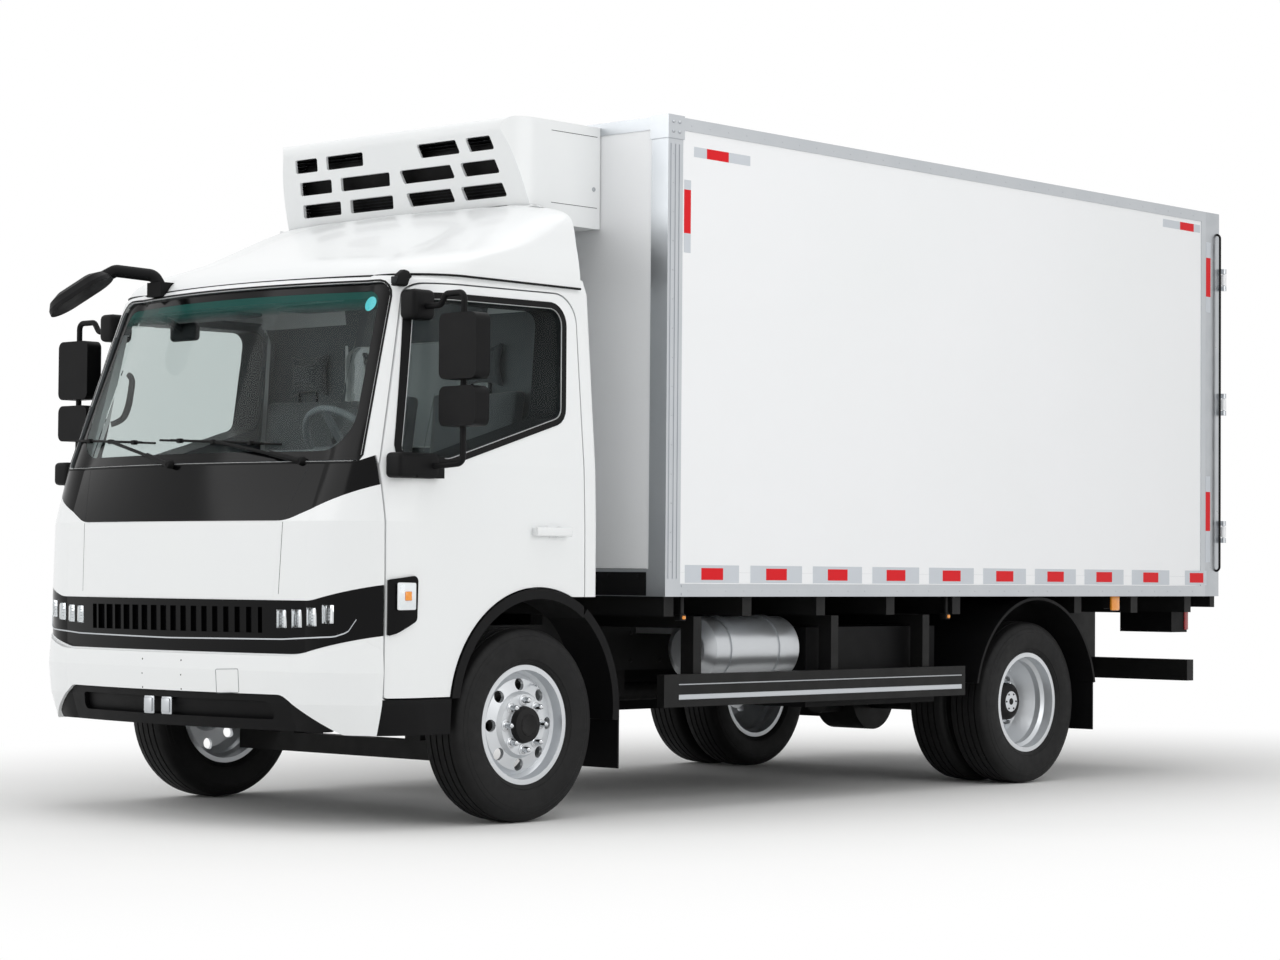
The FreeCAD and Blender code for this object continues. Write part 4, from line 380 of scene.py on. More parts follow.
def new_piece(points, edges=(), faces=()):
    mesh = bpy.data.meshes.new("piece")
    mesh.from_pydata(points, edges, faces)
    return linked(mesh)


def joined(pieces):
    """Several pieces as one mesh."""
    take(pieces[0])
    for piece in pieces[1:]:
        piece.select_set(True)
    if len(pieces) > 1:
        bpy.ops.object.join()
    return pieces[0]


def copy_of(piece, shift=(0, 0, 0), turn=None):
    """A copy with its own mesh, turned by a matrix and then moved."""
    other = linked(piece.data.copy())
    other.data.transform(Matrix.Translation(shift) @ (turn or Matrix.Identity(4)))
    return other


def turned_about(axis, angle, centre):
    return Matrix.Translation(centre) @ Matrix.Rotation(angle, 4, axis) @ Matrix.Translation(-Vector(centre))


def ring_of(first, axis, centre, count=8):
    """A piece and its copies, even round an axis."""
    return joined([first] + [copy_of(first, turn=turned_about(axis, tau * at / count, centre))
                             for at in range(1, count)])


def mirrored(piece):
    """A copy on the other side of the truck."""
    return edited(copy_of(piece, turn=Matrix.Scale(-1, 4, OUTWARD)), (bpy.ops.mesh.flip_normals, {}))


def give_finish(piece, finish):
    piece.data.materials.clear()
    piece.data.materials.append(bpy.data.materials[finish])


def finished(piece, name, finish, body, smooth=30):
    """Name a piece, give it its finish, smooth it by angle and set it riding on a body."""
    apply_all(piece)
    piece.name = piece.data.name = name
    give_finish(piece, finish)
    bpy.ops.object.shade_smooth_by_angle(angle=radians(smooth))
    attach(piece, body)
    return piece


def both(piece, name, finish, body, smooth=30, right_finish=None):
    """Finish a left piece and its mirror image; on a door, each side's piece rides on its own door."""
    bodies = ("door_left", "door_right") if body == "door" else (body, body)
    finished(piece, name + "_left", finish, bodies[0], smooth)
    finished(mirrored(piece), name + "_right", right_finish or finish, bodies[1], smooth)


def soft_block(low, high, rounding, steps=2):
    """A block between two corners with its edges rounded."""
    clear_selection()
    low, high = Vector(low), Vector(high)
    bpy.ops.mesh.primitive_cube_add(size=1, location=(low + high) / 2)
    piece = bpy.context.object
    piece.scale = high - low
    bevel = {"offset": rounding, "segments": steps, "affect": "EDGES", "clamp_overlap": True}
    return edited(apply_all(piece), (bpy.ops.mesh.bevel, bevel))


def block_at(centre, before, after, rounding, steps=2):
    """A soft block that reaches some way before and after a place."""
    return soft_block(Vector(centre) - Vector(before), Vector(centre) + Vector(after), rounding, steps)


def spun(profile, centre, axis, steps=48, start=UPWARD):
    """A profile of (along, radius) pairs in millimetres, spun about an axis through centre."""
    centre = Vector(centre)
    points = [centre + axis * (along * MM) + start * (radius * MM) for along, radius in profile]
    line = new_piece(points, [(at, at + 1) for at in range(len(points) - 1)])
    spin = {"steps": steps, "angle": tau, "center": centre, "axis": axis}
    return edited(line, (bpy.ops.mesh.spin, spin), *CLEANED)


def tube(points, radius, sides=3, closed=False, kind="POLY"):
    """A round bar along a path."""
    curve = bpy.data.curves.new("bar", "CURVE")
    curve.dimensions = "3D"
    curve.bevel_depth, curve.bevel_resolution, curve.use_fill_caps = radius, sides, not closed
    line = curve.splines.new(kind)
    line.points.add(len(points) - 1)
    for place, point in zip(points, line.points):
        point.co = (*place, 1)
    line.use_cyclic_u = closed
    if kind == "NURBS":
        line.order_u, line.use_endpoint_u, line.resolution_u = 3, True, 6
    take(linked(curve))
    bpy.ops.object.convert(target="MESH")
    return edited(bpy.context.object, *CLEANED)


def rounded_outline(corners, steps=6):
    """Points round a flat outline of (across, up, radius) corners."""
    points = []
    for at, (across, up, radius) in enumerate(corners):
        here = Vector((across, up))
        before = (Vector(corners[at - 1][:2]) - here).normalized()
        after = (Vector(corners[(at + 1) % len(corners)][:2]) - here).normalized()
        half = before.angle(after) / 2
        reach = radius / max(0.05, abs(sin(half) / cos(half)))
        centre = here + (before + after).normalized() * (radius / sin(half))
        start, end = here + before * reach, here + after * reach
        for step in range(steps + 1):
            points.append(centre + (start.lerp(end, step / steps) - centre).normalized() * radius)
    return points


def even_loop(points, count, closed=True):
    """count points spaced evenly along an outline."""
    chain = points + [points[0]] if closed else points
    lengths = [0]
    for first, second in zip(chain, chain[1:]):
        lengths.append(lengths[-1] + (second - first).length)
    result, at = [], 0
    for index in range(count):
        goal = lengths[-1] * index / (count if closed else count - 1)
        while at < len(chain) - 2 and lengths[at + 1] < goal:
            at += 1
        span = lengths[at + 1] - lengths[at]
        result.append(chain[at].lerp(chain[at + 1], (goal - lengths[at]) / span if span else 0))
    return result


def offset_loop(points, distance):
    """A closed flat outline moved outwards by distance, point for point."""
    area = sum(a.x * b.y - b.x * a.y for a, b in zip(points, points[1:] + points[:1]))
    distance = distance if area > 0 else -distance
    ways = [(points[(at + 1) % len(points)] - points[at - 1]).normalized() for at in range(len(points))]
    return [spot + Vector((way.y, -way.x)) * distance for spot, way in zip(points, ways)]


def loop_beside(corners, steps, count, grow=0.0):
    """An even loop beside the truck round (along, up, radius) corners, moved outwards by grow."""
    loop = offset_loop(even_loop(rounded_outline(corners, steps), count), grow)
    return [Vector((BESIDE, spot.x, spot.y)) for spot in loop]


def loop_ahead(corners, steps, count, grow=0.0):
    """An even loop in front of the truck round (across, up, radius) corners, moved outwards by grow."""
    loop = offset_loop(even_loop(rounded_outline(corners, steps), count), grow)
    return [Vector((spot.x, AHEAD, spot.y)) for spot in loop]


def grid(first, across, up, counts):
    """Rows of points over a flat field that starts at first."""
    first, across, up = Vector(first), Vector(across), Vector(up)
    return [[first + across * (at / counts[0]) + up * (row / counts[1]) for at in range(counts[0] + 1)]
            for row in range(counts[1] + 1)]


def quads(rows, closed=False):
    """The four-sided faces between neighbouring rows of points."""
    across = len(rows[0])
    pairs = [(at, (at + 1) % across) for at in range(across if closed else across - 1)]
    return [(low + at, low + after, low + across + after, low + across + at)
            for low in range(0, (len(rows) - 1) * across, across) for at, after in pairs]


def faced_against(piece, way, merge=0.0):
    """Drop an open sheet's loose points, merge its near ones and turn its faces against way."""
    work = bmesh.new()
    work.from_mesh(piece.data)
    bmesh.ops.delete(work, geom=[vertex for vertex in work.verts if not vertex.link_faces], context="VERTS")
    if merge:
        bmesh.ops.remove_doubles(work, verts=work.verts, dist=merge)
        bmesh.ops.dissolve_degenerate(work, edges=work.edges, dist=merge / 2)
    bmesh.ops.recalc_face_normals(work, faces=work.faces)
    if sum(face.normal.dot(way) * face.calc_area() for face in work.faces) > 0:
        bmesh.ops.reverse_faces(work, faces=work.faces)
    work.to_mesh(piece.data)
    work.free()
    return piece


def walled(piece, thick, side):
    """Give a sheet a thickness on the side that its faces look to (1) or behind them (-1)."""
    wall = piece.modifiers.new("wall", "SOLIDIFY")
    wall.thickness, wall.offset = thick, side
    return apply_all(piece)


TREES = {}


def node_tree_of(node):
    if node not in TREES:
        mesh = frame["nodes"][node].data
        TREES[node] = BVHTree.FromPolygons([vertex.co.copy() for vertex in mesh.vertices],
                                           [tuple(face.vertices) for face in mesh.polygons])
    return TREES[node]


def landed(place, way, nodes, lift=0.0):
    """Where a ray from place first meets one of some CAD nodes, held lift short of it."""
    hits = [node_tree_of(node).ray_cast(Vector(place), way) for node in nodes]
    hits = [hit for hit in hits if hit[0] is not None]
    return min(hits, key=lambda hit: hit[3])[0] - way * lift if hits else None


def beside(y, z, nodes, lift=0.0):
    return landed((BESIDE, y, z), INWARD, nodes, lift)


def ahead(x, z, nodes, lift=0.0):
    return landed((x, AHEAD, z), BACKWARD, nodes, lift)


def laid_sheet(rows, way, nodes, thick, lift=0.0, closed=False, whole=True):
    """A sheet over rows of points, dropped along way onto CAD faces and given a thickness outwards.

    A whole sheet bridges what it misses; otherwise the faces there are left out.
    """
    placed, missed = [], set()
    for row in rows:
        line = [landed(place, way, nodes, lift) for place in row]
        if whole and all(spot is None for spot in line):
            raise ValueError("a laid sheet misses " + ", ".join(nodes))
        for at, spot in enumerate(line):
            if spot is None and whole:
                near = min((other for other in range(len(line)) if line[other] is not None),
                           key=lambda other: abs(other - at))
                line[at] = row[at] + way * (line[near] - row[near]).dot(way)
            elif spot is None:
                missed.add(len(placed) * len(row) + at)
                line[at] = row[at]
        placed.append(line)
    faces = [face for face in quads(placed, closed) if not missed.intersection(face)]
    sheet = faced_against(new_piece([spot for line in placed for spot in line], faces=faces), way)
    return walled(sheet, thick, 1) if thick else sheet


def dots(places, normal, radius, height, sides=8):
    """Domed rivet or bolt heads, sized in millimetres, one modelled and the rest copied."""
    profile = [(0, radius), (height * 0.5, radius * 0.94), (height, radius * 0.45), (height, 0)]
    first = spun(profile, places[0], normal, sides, normal.orthogonal().normalized())
    return joined([first] + [copy_of(first, place - places[0]) for place in places[1:]])


def stations(low, high, pitch):
    """Even places from low to high, about a pitch apart."""
    count = max(1, round((high - low) / pitch))
    return [low + (high - low) * at / count for at in range(count + 1)]


# ---- wheels

def tyre_section(radius, bore):
    """Half a tyre's section from its bead to its middle, as (along, radius) in millimetres."""
    wall = [(84, 0), (90.5, 6), (95, 16), (94.3, 18), (97.5, 21), (101.2, 36), (104, 55), (105.2, 76),
            (104.6, 94), (103.2, 96), (103.6, 99), (100.5, 112), (98.5, 114), (96.8, 121), (92.5, 131),
            (86, 139)]
    section = [(along, bore + rise) for along, rise in wall]
    crown_drop, half_tread, shoulder, chamfer = 3.5, 75, 4, 1
    depth, half_groove = sizes().groove_depth / MM, sizes().groove_width / 2 / MM

    def crown(along):
        return radius - crown_drop * (along / half_tread) ** 2

    section.append((half_tread + shoulder, crown(half_tread) - 1.5))
    for middle in (50, 17):
        for along, drop in ((middle + half_groove, 0), (middle + half_groove - chamfer, depth),
                            (middle - half_groove + chamfer, depth), (middle - half_groove, 0)):
            section.append((along, crown(along) - drop))
    return section


def make_tyre(middle, radius):
    bead_radius = 236.2
    half = tyre_section(radius / MM, bead_radius)
    whole = half + [(-along, up) for along, up in reversed(half)]
    return spun(whole + whole[:1], middle, OUTWARD, 72)


def add_tyres():
    """Tyres with grooved treads in place of the frame's plain ones."""
    for _, word in SIDES:
        low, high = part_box(f"front_tyre_{word}")
        radius, half_width = (high.z - low.z) / 2, (high.x - low.x) / 2
        tyre = finished(make_tyre((low + high) / 2, radius), f"tyre_front_{word}", "Moulded_Tyre_Rubber",
                        f"wheel_front_{word}", 28)
        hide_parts(f"front_tyre_{word}")
        low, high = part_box(f"rear_tyres_{word}")
        pair = [make_tyre(Vector((x, *((low + high) / 2).yz)), radius)
                for x in (low.x + half_width, high.x - half_width)]
        tyre = finished(joined(pair), f"tyres_rear_{word}", "Moulded_Tyre_Rubber", f"wheel_rear_{word}",
                        28)
        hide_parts(f"rear_tyres_{word}")


# Each wheel: where it is, its rim, how far the disc's face is out from the rim's middle, the nut circle,
# how far out the valve's foot is, and the section of the hub cover, in millimetres.
WHEEL_PLANS = [
    ("front", "front_rim", 78, 97, 52,
     [(78.5, 73.5), (86, 72.8), (104.5, 67), (111, 45), (114, 43), (114.5, 33), (113.4, 31), (113.4, 0)]),
    ("rear", "rear_rims", 14, 116, 20,
     [(14.5, 93.6), (30, 92.6), (97, 86), (106, 74), (113, 62), (114.5, 59), (114.5, 50), (109, 47), (109, 18),
      (113.5, 15), (114, 0)]),
]


def add_wheel_fittings():
    """Nuts, hub covers and valves on the outer discs."""
    rim_half_width, valve_angle, reach = 84 * MM, radians(22), sizes().nut_reach / MM
    nut_section = [(0, 17.5), (4, 17), (5, 12.5), (0.75 * reach, 11.5), (0.9 * reach, 9), (reach, 4.5),
                   (reach, 0)]
    for side, word in SIDES:
        for place, rim, face, circle, valve_foot, cover in WHEEL_PLANS:
            body = f"wheel_{place}_{word}"
            low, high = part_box(f"{rim}_{word}")
            middle = (low + high) / 2
            if place == "front":
                middle.x = (low.x if side > 0 else high.x) + side * rim_half_width
            axis = OUTWARD * side
            first = middle + axis * (face * MM) + UPWARD * (circle * MM)
            finished(ring_of(spun(nut_section, first, axis, 10), axis, middle), f"nuts_{place}_{word}",
                     "Bright_Chrome_Plate", body, 40)
            finished(ring_of(spun([(0, 25), (2.5, 24), (4, 18)], first, axis, 14), axis, middle),
                     f"nut_seats_{place}_{word}", "Silver_Painted_Steel", body, 40)
            bolts = dots([middle + axis * 0.110 + Vector((0, cos(tau * at / 6), sin(tau * at / 6))) * 0.038
                          for at in range(6)], axis, 5, 6)
            finished(joined([spun(cover, middle, axis, 40), bolts]), f"hub_cover_{place}_{word}",
                     "Painted_Sand_Casting", body, 35)
            out = Vector((0, sin(valve_angle), cos(valve_angle)))
            foot = middle + axis * (valve_foot * MM) + out * 0.168
            stem = tube([foot + axis * step - out * drop for step, drop in
                         ((0, 0), (0.026, 0.004), (0.044, 0.010))], 4.2 * MM, 2)
            finished(stem, f"valve_{place}_{word}", "Bright_Chrome_Plate", body, 50)


# ---- cab glass and its trim

# Outlines of the openings: (across or along, up, corner radius).
SCREEN_HALF_FOOT, SCREEN_HALF_TOP, SCREEN_FOOT, SCREEN_TOP = 0.893, 0.815, 1.396, 2.096
DOOR_WINDOW = [(-2.659, 1.420, 0.025), (-2.515, 2.024, 0.06), (-1.770, 2.032, 0.06), (-1.805, 1.600, 0.05),
               (-2.435, 1.412, 0.12)]
DOOR = [(-2.733, 0.506, 0.012), (-2.730, 1.380, 0.16), (-2.524, 2.083, 0.07), (-1.693, 2.093, 0.12),
        (-1.683, 0.506, 0.012)]
SIDE_LAMP = [(-2.728, 0.738, 0.004), (-2.690, 0.750, 0.03), (-2.608, 0.796, 0.02), (-2.604, 0.968, 0.02),
             (-2.728, 0.950, 0.004)]


def screen_loop(grow):
    """The windscreen's edge moved outwards by grow."""
    foot, top = (SCREEN_FOOT, 0.016), (SCREEN_TOP, 0.07)
    return loop_ahead([(-SCREEN_HALF_FOOT, *foot), (SCREEN_HALF_FOOT, *foot), (SCREEN_HALF_TOP, *top),
                       (-SCREEN_HALF_TOP, *top)], 6, 200, grow)


def clear_screen_loop():
    """The clear part of the windscreen: wide print at the sides and foot, round lower corners."""
    foot_half = SCREEN_HALF_FOOT - sizes().screen_border
    top_half = SCREEN_HALF_TOP - sizes().screen_border * 0.9
    foot, top = (SCREEN_FOOT + 0.040, 0.13), (SCREEN_TOP - 0.036, 0.06)
    return loop_ahead([(-foot_half, *foot), (foot_half, *foot), (top_half, *top), (-top_half, *top)], 10, 200)


def matched(outer, inner):
    """The inner loop's points moved round so that each stands beside its outer one."""
    start = min(range(len(inner)), key=lambda at: (inner[at] - outer[0]).length)
    inner = inner[start:] + inner[:start]
    if (inner[1] - outer[1]).length > (inner[-1] - outer[1]).length:
        inner = inner[:1] + inner[:0:-1]
    return inner


def ellipse(centre, across, half_across, half_up, count=32):
    """Points round a flat ellipse that lies along one level way."""
    turns = [tau * at / count for at in range(count)]
    return [centre + across * (half_across * cos(turn)) + UPWARD * (half_up * sin(turn)) for turn in turns]


def shares(first, second, parts):
    """Rows from one loop of points to another."""
    return [[a.lerp(b, share) for a, b in zip(first, second)] for share in parts]


def add_screen_print():
    """Black border and green band of the windscreen, its rubber and a round sticker."""
    outer = screen_loop(-3 * MM)
    rows = shares(outer, matched(outer, clear_screen_loop()), (0, 0.17, 0.33, 0.5, 0.67, 0.83, 1))
    border = laid_sheet(rows, BACKWARD, ["cab_glass"], 0.5 * MM, 0.4 * MM, closed=True)
    finished(border, "screen_border", "Moulded_Gloss_Black", "cab", 60)
    rows = [screen_loop(grow * MM) for grow in (1.5, 5.0, 8.8)]
    seal = laid_sheet(rows, BACKWARD, ["cab_shell", "nose_band"], 1.5 * MM, closed=True)
    finished(seal, "screen_seal", "Extruded_Black_Rubber", "cab", 50)
    top, half_top, taper = 2.066, 0.765, 0.111
    rows = []
    for share in (0, 0.25, 0.5, 0.75, 1):
        drop = sizes().sun_band * share
        half = half_top + drop * taper
        rows.append(grid((-half, AHEAD, top - drop), (2 * half, 0, 0), (0, 0, 0), (60, 1))[0])
    band = laid_sheet(rows, BACKWARD, ["cab_glass"], 0, 0.5 * MM)
    finished(band, "sun_band", "Green_Printed_Sun_Band", "cab", 60)
    centre, radius = Vector((0.730, AHEAD, 2.010)), 0.0285
    rows = [ellipse(centre, OUTWARD, radius * share, radius * share) for share in (1, 0.5, 0.02)]
    disc = laid_sheet(rows, BACKWARD, ["cab_glass"], 0.4 * MM, 0.9 * MM, closed=True)
    finished(disc, "screen_disc", "Bright_Teal_Vinyl", "cab", 60)


def add_wipers():
    """Two wipers parked along the foot of the windscreen."""
    length, tilt, front = sizes().blade_length, -0.045, ["cab_glass", "nose_band", "cab_shell"]
    for number, (pivot_x, pivot_z, tip_x, height) in enumerate(((-0.04, 1.394, -0.575, 1.498),
                                                                (0.635, 1.398, 0.145, 1.478))):
        grip_x = tip_x + 0.06
        pivot, grip = ahead(pivot_x, pivot_z, front, 0.006), ahead(grip_x, height, front, 0.030)
        hub_front = pivot + FORWARD * 0.020
        boss = spun([(0, 17), (18, 16), (26, 12), (28, 0)], pivot, FORWARD, 16)
        knee = pivot.lerp(grip, 0.34) + Vector((0, -0.020, 0.004))
        arm = tube([hub_front, knee, grip + FORWARD * 0.008], 7 * MM, 2, kind="NURBS")
        wide = tube([hub_front, pivot.lerp(knee, 0.6) + FORWARD * 0.006, knee], 11 * MM, 2, kind="NURBS")
        along = [length * (at / 24 - 0.55) for at in range(25)]
        line = [ahead(grip_x + step, height + step * tilt, front, 0.010) for step in along]
        blade = tube(line, 5 * MM, 1)
        spine = tube([spot + Vector((0, -0.009, 0.002)) for spot in line[3:22]], 4.5 * MM, 1)
        clips = [block_at(line[at], (0.012, 0.020, 0.009), (0.012, 0.002, 0.009), 3 * MM, 1)
                 for at in (5, 12, 19)]
        wiper = joined([boss, arm, wide, blade, spine] + clips)
        finished(wiper, f"wiper_{number + 1}", "Extruded_Black_Rubber", "cab", 40)


def add_door_trim():
    """Rubber round the door windows, and the dark reveal behind it."""
    width, start = sizes().seal_width, 2 * MM
    rows = [loop_beside(DOOR_WINDOW, 8, 160, start + width * share) for share in (0, 0.5, 1)]
    seal = laid_sheet(rows, INWARD, ["door_left"], 3 * MM, closed=True)
    both(seal, "window_seal", "Extruded_Black_Rubber", "door", 50)
    inner_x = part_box("door_left")[0].x + 3 * MM
    outer = [landed(spot, INWARD, ["door_left"]).x - 2 * MM for spot in rows[0]]
    edge = loop_beside(DOOR_WINDOW, 8, 160, -3 * MM)
    rows = [[Vector((inner_x + (x - inner_x) * share, spot.y, spot.z)) for spot, x in zip(edge, outer)]
            for share in (0, 0.5, 1)]
    reveal = new_piece([spot for row in rows for spot in row], faces=quads(rows, closed=True))
    both(walled(reveal, 0.8 * MM, -1), "window_reveal", "Moulded_Grey_Plastic", "door", 50)


def add_door_gaps():
    """Black rubber that shows in the gap round each cab door."""
    rows = [loop_beside(DOOR, 8, 220, grow * MM) for grow in (1.0, 5.0, 8.5)]
    nodes = ["cab_shell", "nose_band", "grille_band"]
    seal = laid_sheet(rows, INWARD, nodes, 0.8 * MM, closed=True, whole=False)
    both(seal, "door_gap_rubber", "Extruded_Black_Rubber", "cab", 50)


def add_side_lamps():
    """Black housings at the front edge of each door, each with a square side lamp."""
    loop, centre, depth = loop_beside(SIDE_LAMP, 5, 64), Vector((BESIDE, -2.668, 0.865)), 9 * MM
    rows = shares([centre] * len(loop), loop, (1, 0.93, 0.6, 0.02))
    shell = laid_sheet(rows, INWARD, ["door_left"], depth, closed=True)
    both(shell, "side_lamp_housing", "Moulded_Gloss_Black", "door", 40)
    face = beside(-2.660, 0.888, ["door_left"], depth).x
    # name, finish on the left and right, low and high corner (across from the housing's face), rounding
    for name, left, right, low, high, rounding in (
            ("rim", "Diffuse_White_Light_Guide", "Bright_Chrome_Plate", (-0.004, -2.706, 0.836),
             (0.008, -2.614, 0.940), 6),
            ("lens", "Moulded_Clear_Lens", None, (0.002, -2.700, 0.842), (0.012, -2.620, 0.934), 5),
            ("amber", "Moulded_Amber_Lens", None, (0.007, -2.676, 0.872), (0.013, -2.642, 0.906), 3)):
        block = soft_block(Vector(low) + OUTWARD * face, Vector(high) + OUTWARD * face, rounding * MM)
        both(block, f"side_lamp_{name}", left, "door", 40, right)


def add_handle_scoops():
    """Shallow finger scoop behind each door handle, its grip and the keyhole."""
    handle_y, handle_z, reach = -1.890, 1.142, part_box("door_left")[1].x
    centre = Vector((BESIDE, handle_y + 0.020, handle_z + 0.002))
    rows = [ellipse(centre, BACKWARD, 0.056 * share, 0.036 * share) for share in (1.0, 0.80, 0.5, 0.05)]
    scoop = laid_sheet(rows, INWARD, ["door_left"], 0.4 * MM, closed=True, whole=False)
    face = beside(handle_y, handle_z - 0.060, ["door_left"])
    grip = soft_block((reach - 24 * MM, handle_y - 0.100, handle_z - 0.0175),
                      (reach + 3 * MM, handle_y + 0.100, handle_z + 0.0175), 5 * MM, 3)
    ends = [soft_block((face.x - 3 * MM, handle_y + at - 0.016, handle_z - 0.0155),
                       (reach - 6 * MM, handle_y + at + 0.016, handle_z + 0.0155), 5 * MM, 3)
            for at in (-0.081, 0.081)]
    key = spun([(0, 8), (2, 7.4), (2.4, 0)], face + Vector((0, 0.125, 0.062)), OUTWARD, 18)
    for piece, name, finish in ((scoop, "handle_scoop", "Moulded_White_Plastic"),
                                (joined([grip] + ends), "handle_grip", "Sprayed_White_Enamel"),
                                (key, "door_lock", "Bright_Chrome_Plate")):
        both(piece, name, finish, "door", 40)


# ---- nose

def add_nose_trim():
    """Bright strip under the lamps, and the lamps' bowls and light bars."""
    right = [(0, 0.716), (0.62, 0.722), (0.86, 0.735), (0.905, 0.752), (0.93, 0.800)]
    curl = [Vector((-x, z)) for x, z in right[:0:-1]] + [Vector(spot) for spot in right]
    rows = [[Vector((spot.x, AHEAD, spot.y + step * MM)) for spot in even_loop(curl, 120, closed=False)]
            for step in (-2.5, 0, 2.5)]
    strip = laid_sheet(rows, BACKWARD, ["grille_band"], 3 * MM)
    finished(strip, "grille_strip", "Anodised_Aluminium", "cab", 50)
    bowls, bars = [], []
    first_x, pitch, first_z, curve = 0.616, 0.073, 0.799, 0.0022
    for side, _ in SIDES:
        for number in range(4):
            face = ahead(side * (first_x + pitch * number), first_z + curve * number ** 2, ["headlamps"])
            bowls.append(block_at(face, (0.026, -0.004, 0.035), (0.026, 0.012, 0.035), 0.003))
            for step in (-0.020, 0.020):
                bars.append(block_at(face + OUTWARD * step, (0.0035, -0.001, 0.029), (0.0035, 0.006, 0.029),
                                     0.002))
            for rise in (-0.018, -0.006, 0.006, 0.018):
                bowls.append(block_at(face + UPWARD * rise, (0.009, -0.002, 0.002), (0.009, 0.006, 0.002),
                                      0.001, 1))
    finished(joined(bowls), "lamp_bowls", "Bright_Chrome_Plate", "cab", 40)
    finished(joined(bars), "lamp_bars", "Diffuse_White_Light_Guide", "cab", 40)


def add_seams():
    """Fine dark joints beside the nose panel and in the band above it, and the number plate's plugs."""
    strips, holes = [], []
    for side, _ in SIDES:
        for x_low, z_low, x_high, z_high in ((0.600, 0.868, 0.609, 1.166), (0.607, 1.176, 0.680, 1.408)):
            rows = grid((side * x_low - MM, AHEAD, z_low), (side * (x_high - x_low), 0, z_high - z_low),
                        (2 * MM, 0, 0), (12, 2))
            strips.append(laid_sheet(rows, BACKWARD, ["cab_shell", "nose_panel", "nose_band"], 0.3 * MM))
        for z in (0.520, 0.5755, 0.631):
            holes.append(Vector((side * 0.1185, ahead(side * 0.130, z, ["front_bumper"]).y, z)))
    finished(joined(strips), "nose_seams", "Moulded_Grey_Plastic", "cab", 40)
    # black dots laid over the number plate's bolt holes paint the shade inside them
    finished(dots(holes, FORWARD, 3.8, 0.6, 10), "plate_hole_painted_shade", "Extruded_Black_Rubber", "cab",
             40)


def add_bumper_details():
    """Towing-eye cover and the two plates in the intake."""
    cover = [(0.315, 0.510, 0.006), (0.435, 0.515, 0.006), (0.435, 0.607, 0.006), (0.315, 0.603, 0.006)]
    rows = [loop_ahead(cover, 3, 60, grow * MM) for grow in (0, -2.2)]
    line = laid_sheet(rows, BACKWARD, ["front_bumper"], 0.5 * MM, closed=True)
    finished(line, "tow_cover_line", "Grained_Grey_Dash_Skin", "cab", 50)
    back = ahead(-0.05, 0.455, ["bumper_intake", "front_bumper"]).y
    plates = []
    for x in (-0.095, 0.012):
        plates += [soft_block((x - 0.030, back - 0.030, 0.418), (x + 0.030, back - 0.022, 0.488), 4 * MM),
                   soft_block((x - 0.024, back - 0.036, 0.426), (x + 0.024, back - 0.028, 0.480), 3 * MM)]
    finished(joined(plates), "intake_plates", "Anodised_Aluminium", "cab", 40)


# ---- mirrors and roof

def add_mirrors():
    """Mirror glasses in the backs of the housings, and rounded covers where each arm meets the door."""
    glass = joined([soft_block((1.090, -2.477, foot), (1.264, -2.4735, top), 1.6 * MM)
                    for foot, top in ((1.720, 1.942), (1.542, 1.666))])
    both(glass, "mirror_glass", "Silvered_Mirror_Glass", "door", 40)
    covers = joined([soft_block((0.880, -2.575, 1.942), (0.970, -2.459, 2.058), 0.022, 4),
                     soft_block((0.975, -2.728, 1.332), (1.066, -2.520, 1.428), 0.019, 4)])
    both(covers, "mirror_covers", "Grained_Black_Polypropylene", "door", 50)


def add_roof_marker():
    """Shark-fin marker with a grey lens at the front corner of the roof."""
    base = landed((0.855, -2.530, 3), DOWNWARD, ["cab_shell", "roof_deflector"]) + DOWNWARD * 0.008
    outline = [(-0.052, 0), (0.050, 0), (0.044, 0.034), (0.020, 0.062), (-0.004, 0.066), (-0.030, 0.046)]
    half_width = 0.017
    clear_selection()
    bpy.ops.mesh.primitive_circle_add(vertices=len(outline), fill_type="NGON")
    fin = bpy.context.object
    for vertex, (along, up) in zip(fin.data.vertices, outline):
        vertex.co = base + Vector((-half_width, along, up))
    push = {"TRANSFORM_OT_translate": {"value": (2 * half_width, 0, 0)}}
    edited(fin, (bpy.ops.mesh.extrude_region_move, push), FACED_OUT)
    round_off = fin.modifiers.new("edge", "BEVEL")
    round_off.width, round_off.segments = 8 * MM, 3
    finished(fin, "roof_marker", "Grained_Black_Polypropylene", "cab", 40)
    lens = block_at(base, (0.012, 0.052, -0.008), (0.012, -0.028, 0.036), 4 * MM)
    finished(lens, "roof_marker_lens", "Moulded_Grey_Plastic", "cab", 40)


# ---- cab inside

